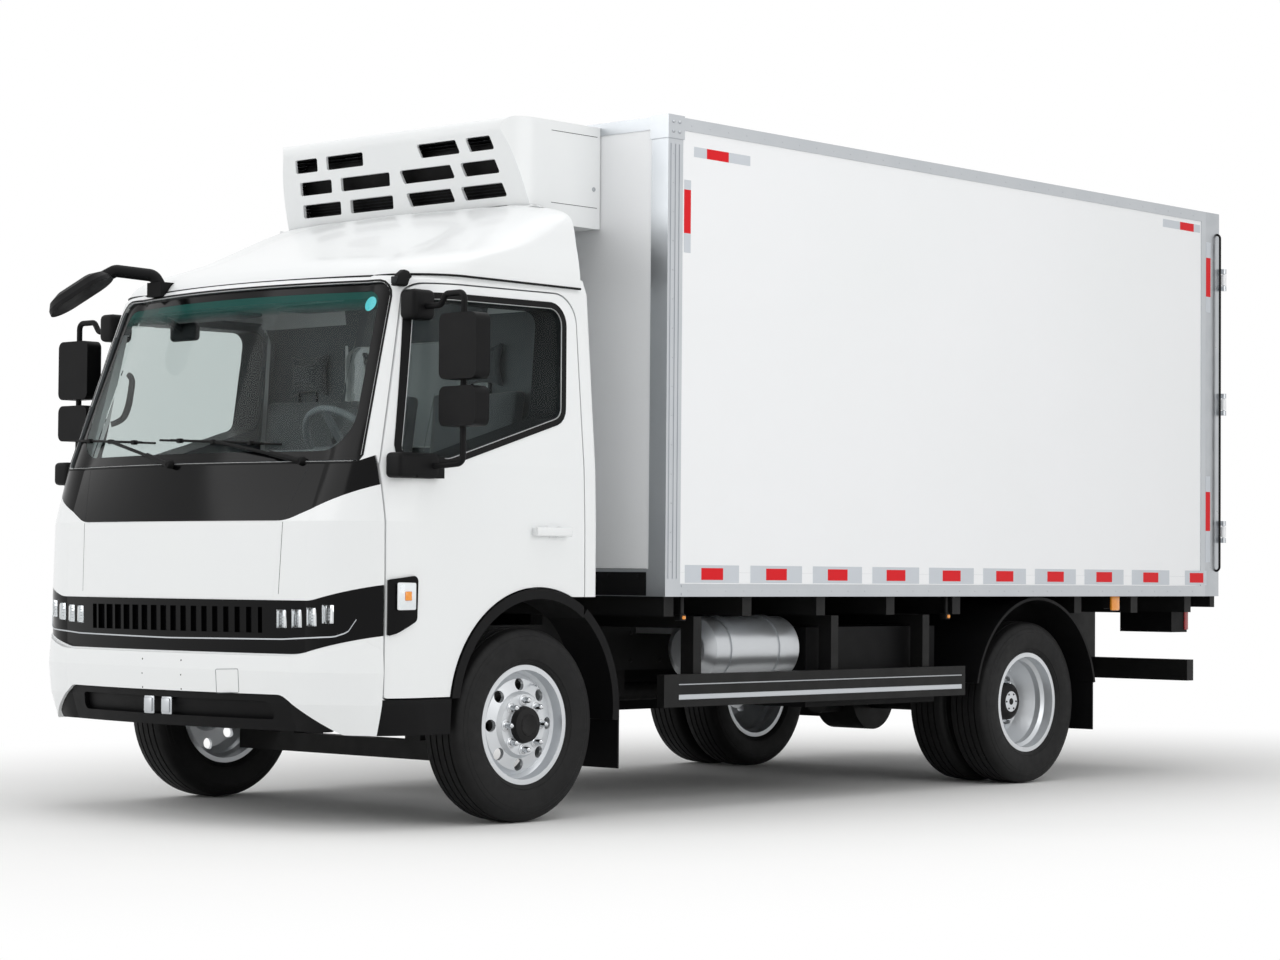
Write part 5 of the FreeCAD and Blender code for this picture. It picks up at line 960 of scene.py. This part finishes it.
def cushion(low, high, crown, sides_in=0.012, lean=0.0):
    """A padded block: subdivided, crowned on its broad faces and drawn in along its seams."""
    clear_selection()
    low, high = Vector(low), Vector(high)
    middle, half = (low + high) / 2, (high - low) / 2
    thin = min(range(3), key=lambda way: half[way])
    broad = [way for way in range(3) if way != thin]
    edge_thinning, seam_pull, cuts = 0.42, 0.8, 13
    bpy.ops.mesh.primitive_cube_add(size=2, location=(0, 0, 0))
    piece = edited(bpy.context.object, (bpy.ops.mesh.subdivide, {"number_cuts": cuts}))
    for vertex in piece.data.vertices:
        place = vertex.co.copy()
        spot = Vector([place[way] * half[way] for way in range(3)])
        first, second = abs(place[broad[0]]), abs(place[broad[1]])
        spot[thin] *= 1 - edge_thinning * max(first, second) ** 10
        spot[thin] += crown * (1 - first ** 3) * (1 - second ** 3) * place[thin]
        for way, other in (broad, broad[::-1]):
            pull = 1 - abs(place[thin]) ** 6 * sides_in / half[way]
            seam = seam_pull * (1 - place[other] ** 2) * abs(place[way]) ** 3
            spot[way] *= pull - seam * sides_in / half[way]
        spot.y += (spot.z / half.z) * lean
        vertex.co = middle + spot
    smooth = piece.modifiers.new("smooth", "SUBSURF")
    smooth.levels = smooth.render_levels = 1
    return piece


def add_seats():
    """Driver's seat and a double passenger seat in grey cloth, in place of the frame's plain ones."""
    for word, low_x, high_x, heads in (("driver", 0.190, 0.690, (0.44,)),
                                       ("passenger", -0.860, 0.060, (-0.63, -0.17))):
        base = soft_block((low_x + 0.03, -2.20, 0.930), (high_x - 0.03, -1.78, 1.128), 0.02)
        finished(base, f"{word}_seat_base", "Grained_Grey_Dash_Skin", "cab", 40)
        seat = cushion((low_x, -2.225, 1.130), (high_x, -1.745, 1.262), 0.016)
        back = cushion((low_x + 0.005, -1.792, 1.250), (high_x - 0.005, -1.668, 1.722), 0.014, lean=0.028)
        pads = [(f"{word}_seat_cushion", 0.7, seat), (f"{word}_seat_back", 0.7, back)]
        for number, x in enumerate(heads):
            pads.append((f"{word}_headrest_{number + 1}", 0.8,
                         cushion((x - 0.118, -1.722, 1.742), (x + 0.118, -1.652, 1.925), 0.014, 0.030)))
            posts = [tube([Vector((x + step, -1.690, z)) for z in (1.700, 1.762)], 0.006, 2)
                     for step in (-0.055, 0.055)]
            finished(joined(posts), f"{word}_headrest_posts_{number + 1}", "Moulded_Grey_Plastic", "cab",
                     40)
        for name, fill, piece in pads:
            pad = finished(piece, name, "Woven_Grey_Seat_Cloth", "cab", 60)
            if name == "driver_seat_cushion":
                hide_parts("seats")
        bead = rounded_outline([(low_x, -2.225, 0.035), (high_x, -2.225, 0.035), (high_x, -1.745, 0.035),
                                (low_x, -1.745, 0.035)], 5)
        piping = tube([Vector((spot.x, spot.y, 1.246)) for spot in bead], 0.004, 1, closed=True)
        finished(piping, f"{word}_seat_piping", "Extruded_Black_Rubber", "cab", 40)


def add_lining():
    """Grey trim on the inside of the doors, pillars, back wall and roof."""
    def skin(node, way, first, across, up, counts):
        return laid_sheet(grid(first, across, up, counts), way, [node], 1.6 * MM, whole=False)

    card = joined([skin("door_left", OUTWARD, (0.55, -2.715, 0.96), (0, 0.400, 0), (0, 0.264, 1.11), (40, 92)),
                   skin("door_left", OUTWARD, (0.55, -2.315, 0.96), (0, 0.610, 0), (0, 0, 1.11), (52, 92))])
    both(card, "door_card", "Grained_Grey_Dash_Skin", "door", 40)
    posts = [skin("cab_shell", OUTWARD, (0.55, -2.83, 1.40), (0, 0.300, 0), (0, 0.205, 0.66), (50, 56)),
             skin("cab_shell", OUTWARD, (0.55, -1.86, 1.00), (0, 0.215, 0), (0, 0, 1.04), (36, 60))]
    posts += [mirrored(post) for post in posts]
    back = skin("cab_shell", BACKWARD, (-0.94, -2.2, 0.96), (1.88, 0, 0), (0, 0, 1.09), (60, 36))
    roof = skin("cab_shell", UPWARD, (-0.80, -2.58, 1.85), (1.60, 0, 0), (0, 0.93, 0), (50, 30))
    finished(joined(posts + [back, roof]), "cab_lining", "Grained_Grey_Dash_Skin", "cab", 40)


def add_cab_fittings():
    """Inside mirror, sun visors, grab handle and dash details."""
    arm = tube([(-0.50, -2.600, 2.015), (-0.49, -2.550, 1.995), (-0.47, -2.515, 1.965)], 0.014, 2,
               kind="NURBS")
    head = soft_block((-0.555, -2.530, 1.925), (-0.385, -2.495, 2.000), 0.017, 4)
    finished(joined([arm, head]), "inside_mirror", "Moulded_Grey_Plastic", "cab", 50)
    grab = tube([(-0.868, -2.580, 1.590), (-0.835, -2.545, 1.600), (-0.815, -2.530, 1.660),
                 (-0.810, -2.520, 1.730), (-0.820, -2.505, 1.785), (-0.850, -2.500, 1.800)], 0.013,
                kind="NURBS")
    finished(grab, "grab_handle", "Moulded_Grey_Plastic", "cab", 50)
    for word, near, far in (("left", 0.12, 0.70), ("right", -0.70, -0.12)):
        visor = cushion((near, -2.530, 2.012), (far, -2.390, 2.036), 0.003, 0.004)
        finished(visor, f"sun_visor_{word}", "Grained_Grey_Dash_Skin", "cab", 50)
    hood = soft_block((0.20, -2.700, 1.392), (0.60, -2.560, 1.450), 0.025, 4)
    finished(hood, "dial_hood", "Grained_Grey_Dash_Skin", "cab", 40)
    vents = [block_at((x, -2.484, 1.305 + step * 0.014), (0.055, 0, 0), (0.055, 0.014, 0.006), 0.002, 1)
             for x in (-0.66, -0.14, 0.10) for step in range(5)]
    finished(joined(vents), "dash_vents", "Moulded_Grey_Plastic", "cab", 40)
    hub, tilt = Vector((0.400, -2.395, 1.460)), radians(-52)
    pad = block_at(hub, (0.075, 0.055, 0), (0.075, 0.055, 0.032), 0.018, 3)
    pad.data.transform(turned_about("X", tilt, hub))
    finished(pad, "steering_pad", "Moulded_Grey_Plastic", "cab", 50)


# ---- roof deflector

def arc_points(start, through, end, count):
    """Points along the circle arc through three level places, without the last one."""
    a, b, c = (Vector((spot[0], spot[1])) for spot in (start, through, end))
    turn = 2 * (a.x * (b.y - c.y) + b.x * (c.y - a.y) + c.x * (a.y - b.y))
    aa, bb, cc = a.length_squared, b.length_squared, c.length_squared
    centre = Vector(((aa * (b.y - c.y) + bb * (c.y - a.y) + cc * (a.y - b.y)) / turn,
                     (aa * (c.x - b.x) + bb * (a.x - c.x) + cc * (b.x - a.x)) / turn))
    reach = (a - centre).angle_signed(c - centre)
    if reach * (a - centre).angle_signed(b - centre) < 0:
        reach -= tau if reach > 0 else -tau
    return [centre + Matrix.Rotation(-reach * at / count, 2) @ (a - centre) for at in range(count)]


# Level sections of the roof hood, in millimetres from the nose and from the cab's side.
HOOD_SECTIONS = [
    # height, setback, corner width, bow of the front, side in, corner run
    (2120, 352, 272, 105, 58, 212),
    (2160, 383, 270, 105, 60, 210),
    (2200, 450, 280, 108, 64, 220),
    (2290, 690, 320, 120, 82, 280),
    (2415, 985, 330, 110, 118, 215),
    (2462, 1130, 300, 60, 230, 120),
    (2478, 1190, 300, 40, 380, 80),
]
UNIT_BAY = 0.080  # how much shorter the hood is where it stands before the cooling unit


def hood_line(section, nose, half_width, rear):
    """The outline of the hood at one height, from its left rear end round the front to its right one."""
    height, setback, corner_width, bow, side_in, corner_run = (value * MM for value in section)
    unit_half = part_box("reefer_cover")[1].x + 0.026
    side, front = half_width - side_in, nose + setback
    bow_x, bow_y = side - corner_width, front + bow
    side_y = bow_y + corner_run
    flat_share = 2 ** 0.5 - 1
    along_side, round_corner, over_front = 12, 14, 44
    line = [Vector((side, rear + (side_y - rear) * at / along_side)) for at in range(along_side)]
    for sign in (1, -1):
        side_end, bow_end = Vector((sign * side, side_y)), Vector((sign * bow_x, bow_y))
        middle = (side_end + bow_end) / 2
        through = middle + (Vector((sign * side, bow_y)) - middle) * flat_share
        if sign > 0:
            line += arc_points(side_end, through, bow_end, round_corner)
            line += arc_points(bow_end, (0, front), (-bow_x, bow_y), over_front)
        else:
            line += arc_points(bow_end, through, side_end, round_corner)
    line += [Vector((-side, side_y + (rear - side_y) * at / along_side)) for at in range(along_side + 1)]
    return [Vector((spot.x, min(spot.y, rear - UNIT_BAY if abs(spot.x) < unit_half else rear), height))
            for spot in line]


def between(before, first, second, after, share):
    """A smooth value between two rows of numbers, led by their neighbours."""
    return [b + 0.5 * share * (c - a + share * (2 * a - 5 * b + 4 * c - d + share * (3 * (b - c) + d - a)))
            for a, b, c, d in zip(before, first, second, after)]


def add_roof_hood():
    """The smooth air deflector on the roof, in place of the ruled one, with a dark joint at its foot."""
    nose, half_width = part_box("front_bumper")[0].y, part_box("cab_shell")[1].x
    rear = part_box("roof_deflector")[1].y
    last, steps = len(HOOD_SECTIONS) - 1, 6
    sections = []
    for at in range(last):
        around = [HOOD_SECTIONS[max(0, min(last, at + step))] for step in (-1, 0, 1, 2)]
        sections += [between(*around, step / steps) for step in range(steps)]
    rows = [hood_line(section, nose, half_width, rear) for section in sections + [HOOD_SECTIONS[-1]]]
    rows.append([Vector((spot.x, rear - UNIT_BAY, spot.z)) for spot in rows[-1]])
    hood = new_piece([spot for row in rows for spot in row], faces=quads(rows))
    hood = walled(faced_against(hood, DOWNWARD, 0.4 * MM), 10 * MM, -1)
    piece = finished(hood, "roof_hood", "Sprayed_White_Enamel", "cab", 50)
    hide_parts("roof_deflector")
    joint = tube([low.lerp(high, 0.6) for low, high in zip(rows[0], rows[1])], 4.5 * MM, 2)
    finished(joint, "hood_joint", "Extruded_Black_Rubber", "cab", 60)


# ---- cargo box

WALL = ["cargo_side_walls", "cargo_floor", "cargo_roof", "box_edge_trim", "tail_frame", "corner_castings"]


def patch_on_side(y_low, y_high, z_low, z_high, thick_mm, nodes=WALL):
    """A thin film on the left wall of the box."""
    rows = grid((BESIDE, y_low, z_low), (0, y_high - y_low, 0), (0, 0, z_high - z_low), (1, 2))
    return laid_sheet(rows, INWARD, nodes, thick_mm * MM)


def add_wall_feet():
    """The side walls' skin where it runs down over the floor's edge and up over the roof's."""
    low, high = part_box("cargo_side_walls")
    both(joined([patch_on_side(low.y + 0.092, high.y, foot, top, 0.3, ["cargo_floor", "cargo_roof"])
                 for foot, top in ((0.9395, 0.9865), (2.7605, 2.8015))]),
         "wall_feet", "White_Gelcoat_Panel", "chassis", 30)


def add_reflecting_tape():
    """Red and pale reflecting film along the box's foot, up its rear corner and at its top corners."""
    half_red, height = sizes().tape_length / 2, sizes().tape_height
    pitch, first, count = 0.418, -1.015, 10
    # from and to along the box, foot and top, thickness in millimetres, share of red
    films = []
    for number in range(count):
        y, reach = first + pitch * number, 0.172 if number < count - 1 else 0.10
        films += [(y - reach, y + reach, 0.944, 1.017, 0.5, 0),
                  (y - half_red, y + half_red, 0.956, 0.956 + height, 1, 1)]
    rear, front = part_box("tail_frame")[0].y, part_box("cargo_side_walls")[0].y
    films += [(rear + 0.004, rear + 0.046, low, high, 0.7, red) for low, high, red in
              ((1.06, 1.22, 0), (1.22, 1.42, 1), (1.42, 1.50, 0), (2.34, 2.42, 0), (2.42, 2.62, 1),
               (2.62, 2.70, 0))]
    films += [(front + 0.100, front + 0.142, low, high, 0.7, red) for low, high, red in
              ((2.30, 2.38, 0), (2.38, 2.56, 1), (2.56, 2.60, 0))]
    films += [(rear - low, rear - high, 2.742, 2.782, 0.7, red) for low, high, red in
              ((0.40, 0.24, 0), (0.24, 0.11, 1), (0.11, 0.05, 0))]
    films += [(front + low, front + high, 2.700, 2.742, 0.7, red) for low, high, red in
              ((0.16, 0.24, 0), (0.24, 0.38, 1), (0.38, 0.52, 0))]
    pieces = []
    for *place, red in films:
        piece = patch_on_side(*place)
        values = piece.data.attributes.new("red_half", "FLOAT", "POINT")
        for number in range(len(piece.data.vertices)):
            values.data[number].value = red
        pieces.append(piece)
    both(joined(pieces), "reflecting_tape", "Reflecting_Film", "chassis", 30)


def add_box_ribs():
    """Raised ribs of the corner posts and the lower rail, with their rivets."""
    rear, post_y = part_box("box_edge_trim")[1].y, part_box("cargo_side_walls")[0].y
    ribs = [patch_on_side(post_y + step, post_y + step + width, 0.96, 2.74, 2.6)
            for step, width in ((0.012, 0.010), (0.040, 0.014), (0.064, 0.010))]
    ribs += [patch_on_side(post_y + 0.095, rear - 0.10, z, z + width, 2.4)
             for z, width in ((0.892, 0.010), (0.926, 0.008))]
    both(joined(ribs), "box_ribs", "Anodised_Aluminium", "chassis", 30)
    pitch = sizes().rivet_pitch
    spots = [(post_y + 0.030, z) for z in stations(1.03, 2.70, pitch)]
    spots += [(y, z) for y in stations(post_y + 0.14, rear - 0.12, pitch) for z in (0.912, 2.825)]
    rivets = dots([beside(y, z, WALL) for y, z in spots], OUTWARD, 3.6, 2.2, 7)
    both(rivets, "box_rivets", "Brushed_Stainless_Steel", "chassis", 30)


def add_front_wall_band():
    """Black skirt at the foot of the box's front wall, with its bolts."""
    half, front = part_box("cargo_side_walls")[1].x, -1.45
    nodes = ["cargo_wall_front", "box_edge_trim", "cargo_floor", "corner_castings"]
    rows = grid((-half + 0.10, front, 0.890), (2 * half - 0.20, 0, 0), (0, 0, 0.110), (8, 2))
    band = laid_sheet(rows, BACKWARD, nodes, 3 * MM)
    bolts = dots([landed((x, front, 0.972), BACKWARD, nodes, 3 * MM)
                  for x in stations(-half + 0.14, half - 0.14, 0.16)], FORWARD, 7, 5, 6)
    skirt = joined([band, bolts])
    finished(skirt, "front_wall_band", "Grained_Black_Polypropylene", "chassis")


def add_casting_bolts():
    """Four bolts on the side of each corner casting."""
    low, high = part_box("corner_castings")
    spots = [beside(y, z, ["corner_castings"])
             for y in (low.y + 0.03, low.y + 0.068, high.y - 0.03, high.y - 0.068)
             for z in (0.905, 0.945, 2.79, 2.83)]
    bolts = dots([spot for spot in spots if spot is not None], OUTWARD, 7, 5, 6)
    both(bolts, "casting_bolts", "Brushed_Stainless_Steel", "chassis", 30)


def add_tail_details():
    """Rubber seals round the rear doors, the guides of the lock bars and their bolts."""
    inset, face = 0.012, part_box("lock_bars_left")[0].y
    for side, word in SIDES:
        low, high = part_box(f"cargo_door_{word}")
        left, right, foot, top = low.x + inset, high.x - inset, low.z + inset, high.z - inset
        corners = ((left, foot), (right, foot), (right, top), (left, top))
        loop = rounded_outline([(*corner, 0.02) for corner in corners], 4)
        seal = tube([Vector((spot.x, face, spot.y)) for spot in loop], 0.006, 2, closed=True)
        body = f"cargo_door_{word}"
        finished(seal, f"rear_seal_{word}", "Extruded_Black_Rubber", body, 50)
        middles = [Vector((side * x, face, z)) for x in (0.078, 0.774) for z in (1.06, 1.62, 2.16, 2.70)]
        guides = [block_at(spot, (0.032, 0.002, 0.018), (0.032, 0.026, 0.018), 0.006) for spot in middles]
        heads = dots([spot + Vector((step, 0.026, 0)) for spot in middles for step in (-0.022, 0.022)],
                     BACKWARD, 5, 3, 6)
        guides = joined(guides + [heads])
        finished(guides, f"bar_guides_{word}", "Brushed_Stainless_Steel", body, 40)


# ---- refrigeration unit

def add_reefer_details():
    """Condenser fins behind the slots, the lowest slots, the cover's fold lines and its lock."""
    low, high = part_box("reefer_cover")
    fins, count, first_z, pitch, lean = [], 26, 2.445, 0.013, 0.33
    for row in range(count):
        z = first_z + row * pitch
        y = low.y + 0.075 + (2.80 - z) * lean
        fins.append(soft_block((low.x + 0.06, y, z), (high.x - 0.06, y + 0.030, z + 0.004), 0.001, 1))
    finished(joined(fins), "condenser_fins", "Moulded_Grey_Plastic", "chassis", 30)
    lock = spun([(-1, 10), (3, 9), (4, 5), (4.2, 0)], beside(-1.350, 2.575, ["reefer_cover"]), OUTWARD, 20)
    finished(lock, "reefer_lock_left", "Brushed_Stainless_Steel", "chassis", 40)
    # black sheets laid in the lowest slots paint the shade inside them
    feet = [laid_sheet(grid((x_low, AHEAD, 2.425), (x_high - x_low, 0, 0), (0, 0, 0.018), (6, 2)), BACKWARD,
                       ["reefer_cover"], 0.6 * MM, whole=False)
            for x_low, x_high in ((-0.650, -0.430), (-0.355, -0.100), (0, 0.270), (0.340, 0.605))]
    finished(joined(feet), "reefer_slot_painted_shade", "Extruded_Black_Rubber", "chassis", 30)
    # thin dark lines along the cover's folds paint the shade of the folds
    folds = [laid_sheet(grid((BESIDE, -1.600, z - 0.0012), (0, 0.270, 0), (0, 0, 0.0024), (8, 2)), INWARD,
                        ["reefer_cover"], 0.4 * MM, whole=False) for z in (2.795, 2.498)]
    both(joined(folds), "reefer_fold_painted_shade", "Moulded_Grey_Plastic", "chassis", 30)


# ---- chassis

def add_guard_strips():
    """Two bright strips along each side guard."""
    low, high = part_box("side_guards")
    front, rear = low.y + 0.09, high.y - 0.03
    # the 5 mm strip at 0.523 paints the highlight along the guard's top edge; the 21 mm one is a real silver
    # strip
    strips = [soft_block((high.x - 0.002, front, z), (high.x + 0.003, rear, z + height), 0.0015, 1)
              for z, height in ((0.463, 0.021), (0.523, 0.005))]
    both(joined(strips), "guard_strip_and_painted_highlight", "Anodised_Aluminium", "chassis", 30)


def add_markers():
    """Amber side markers under the box, and the red faces of the tail lamps."""
    spots = [Vector((1.060, -1.12, 0.800)), Vector((1.060, 0.72, 0.795))]
    markers = [block_at(spot, (0, 0.010, 0.008), (0.008, 0.010, 0.008), 0.004) for spot in spots]
    mounts = []
    for x, y, z in spots:
        mounts += [soft_block((x - 0.035, y - 0.018, z - 0.014), (x + 0.003, y + 0.018, z + 0.014), 0.005),
                   soft_block((x - 0.020, y - 0.010, z), (x - 0.004, y + 0.010, 0.890), 0.003)]
    markers.append(soft_block((1.085, 2.022, 0.817), (1.100, 2.092, 0.890), 0.006))
    both(joined(markers), "side_markers", "Moulded_Amber_Lens", "chassis", 40)
    mounts.append(soft_block((1.040, 2.030, 0.825), (1.088, 2.084, 0.888), 0.005))
    both(joined(mounts), "marker_mounts", "Satin_Chassis_Enamel", "chassis", 40)
    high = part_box("tail_lamps")[1]
    red = soft_block((0.650, high.y - 0.004, 0.706), (high.x - 0.006, high.y + 0.010, 0.824), 0.006)
    edge = soft_block((high.x - 0.004, high.y - 0.030, 0.712), (high.x + 0.006, high.y + 0.006, 0.818), 0.004)
    both(joined([red, edge]), "tail_lens", "Moulded_Red_Lens", "chassis", 40)


def add_frame_bolts():
    """Rows of bolts along the outsides of the frame rails."""
    spots = [landed((0.8, y, z), INWARD, ["chassis_frame", "battery_packs"])
             for y in stations(-1.5, 2.7, 0.19) for z in (0.60, 0.72)]
    bolts = dots([spot for spot in spots if spot is not None and spot.x > 0.30], OUTWARD, 8, 6, 6)
    both(bolts, "frame_bolts", "Satin_Chassis_Enamel", "chassis", 30)


# ---- stage

def add_stage():
    """Pale floor, soft lamps, white surround and the camera."""
    clear_selection()
    floor_width, floor_drop = 120, 0.5 * MM
    bpy.ops.mesh.primitive_plane_add(size=floor_width, location=(0, 0, -floor_drop))
    floor = bpy.context.object
    floor.name = "studio_floor"
    give_finish(apply_all(floor), "Matt_Studio_Sheet")
    scene = bpy.context.scene
    scene.world = bpy.data.worlds.new("Pale_Studio")
    scene.world.use_nodes = True
    tree = scene.world.node_tree
    tree.nodes.clear()
    light = add_node(tree, "ShaderNodeLightPath").outputs
    seen = light["Is Camera Ray"]
    for ray in ("Is Transmission Ray", "Is Glossy Ray"):
        seen = add_node(tree, "ShaderNodeMath", {"operation": "MAXIMUM"}, {
            0: seen, 1: light[ray]}).outputs["Value"]
    fill, white = (add_node(tree, "ShaderNodeBackground", {"Color": (1, 1, 1, 1), "Strength": strength})
                   for strength in (0.55, 1.0))
    either = add_node(tree, "ShaderNodeMixShader", links={
        0: seen, 1: fill.outputs["Background"], 2: white.outputs["Background"]})
    add_node(tree, "ShaderNodeOutputWorld", links={"Surface": either.outputs["Shader"]})
    for name, place, aim, width, height, watts in (
            ("over_lamp", (1.0, -1.0, 7.5), (0, 0, 0.5), 7, 9, 190),
            ("front_lamp", (-2.5, -9.0, 4.5), (0, -2, 1.2), 6, 5, 190),
            ("side_lamp", (9.0, -1.0, 4.0), (0, 0.3, 1.2), 8, 5, 210)):
        bpy.ops.object.light_add(type="AREA", location=place)
        lamp = bpy.context.object
        lamp.name = name
        lamp.data.shape = "RECTANGLE"
        lamp.data.size, lamp.data.size_y, lamp.data.energy = width, height, watts
        lamp.rotation_euler = (Vector(aim) - Vector(place)).to_track_quat("-Z", "Y").to_euler()
    scene.view_settings.view_transform = "Standard"
    add_camera()


def add_camera():
    """The eye level three-quarter view from the front left of the truck."""
    yaw, pitch, roll = 0.7357, 0.0315, 0.0079
    place = Vector((9.1271, -10.3032, 0.9815))
    forwards = Vector((-sin(yaw) * cos(pitch), cos(yaw) * cos(pitch), sin(pitch)))
    level = Vector((cos(yaw), sin(yaw), 0))
    above = level.cross(forwards)
    right = cos(roll) * level + sin(roll) * above
    up = cos(roll) * above - sin(roll) * level
    lens = bpy.data.cameras.new("studio_camera")
    lens.sensor_width, lens.lens, lens.clip_end = 36, 83.21, 200
    camera = linked(lens)
    camera.matrix_world = Matrix.Translation(place) @ Matrix((right, up, -forwards)).transposed().to_4x4()
    bpy.context.scene.camera = camera


# ---- operators

def operator(name, label, text, *works):
    """An operator class that does some of the works above in turn."""
    def execute(self, context):
        for work in works:
            work()
        return {"FINISHED"}
    return type("TRUCK_OT_" + name, (bpy.types.Operator,), {
        "bl_idname": "truck." + name, "bl_label": label, "__doc__": text, "execute": execute})


OPERATORS = [
    operator("finishes", "Finishes", "Make the materials and put them on the frame", make_finishes),
    operator("wheels", "Wheels", "Grooved tyres, nuts, hub covers and valves", add_tyres, add_wheel_fittings),
    operator("screen", "Windscreen", "Printed border, green band, rubber and wipers", add_screen_print,
             add_wipers),
    operator("doors", "Doors", "Window rubbers, handles and side lamps", add_door_trim, add_door_gaps,
             add_handle_scoops, add_side_lamps),
    operator("nose", "Nose", "Bright strip, lamp bowls and bumper details", add_nose_trim, add_seams,
             add_bumper_details),
    operator("mirrors", "Mirrors", "Mirror glasses, bracket covers and the roof marker", add_mirrors,
             add_roof_marker),
    operator("inside", "Cab inside", "Seats, lining, visors, handles and dash details", add_seats, add_lining,
             add_cab_fittings),
    operator("hood", "Roof hood", "The smooth air deflector and its joint", add_roof_hood),
    operator("box", "Cargo box", "Tape, ribs, rivets, bolts and door seals", add_wall_feet,
             add_reflecting_tape, add_box_ribs, add_front_wall_band, add_casting_bolts, add_tail_details),
    operator("reefer", "Refrigeration unit", "Fins, slots, folds and lock", add_reefer_details),
    operator("chassis", "Chassis", "Guard strips, markers and bolts", add_guard_strips, add_markers,
             add_frame_bolts),
    operator("stage", "Stage", "Floor, lamps, surround and camera", add_stage),
]


class TRUCK_PT_panel(bpy.types.Panel):
    """Lists the truck's sizes, colours and pieces."""
    bl_label = "Refrigerated Truck"
    bl_idname = "TRUCK_PT_panel"
    bl_space_type = "VIEW_3D"
    bl_region_type = "UI"
    bl_category = "Truck"

    def draw(self, context):
        for group in (context.scene.truck_sizes, context.scene.truck_colours):
            for name in group.__annotations__:
                self.layout.prop(group, name)
        for kind in OPERATORS:
            self.layout.operator(kind.bl_idname)


CLASSES = [TruckSizes, TruckColours, *OPERATORS, TRUCK_PT_panel]


def register():
    for kind in CLASSES:
        bpy.utils.register_class(kind)
    bpy.types.Scene.truck_sizes = bpy.props.PointerProperty(type=TruckSizes)
    bpy.types.Scene.truck_colours = bpy.props.PointerProperty(type=TruckColours)


def unregister():
    del bpy.types.Scene.truck_colours
    del bpy.types.Scene.truck_sizes
    for kind in reversed(CLASSES):
        bpy.utils.unregister_class(kind)


def main():
    register()
    for kind in OPERATORS:
        group, name = kind.bl_idname.split(".")
        getattr(getattr(bpy.ops, group), name)()


if __name__ == "__main__":
    main()
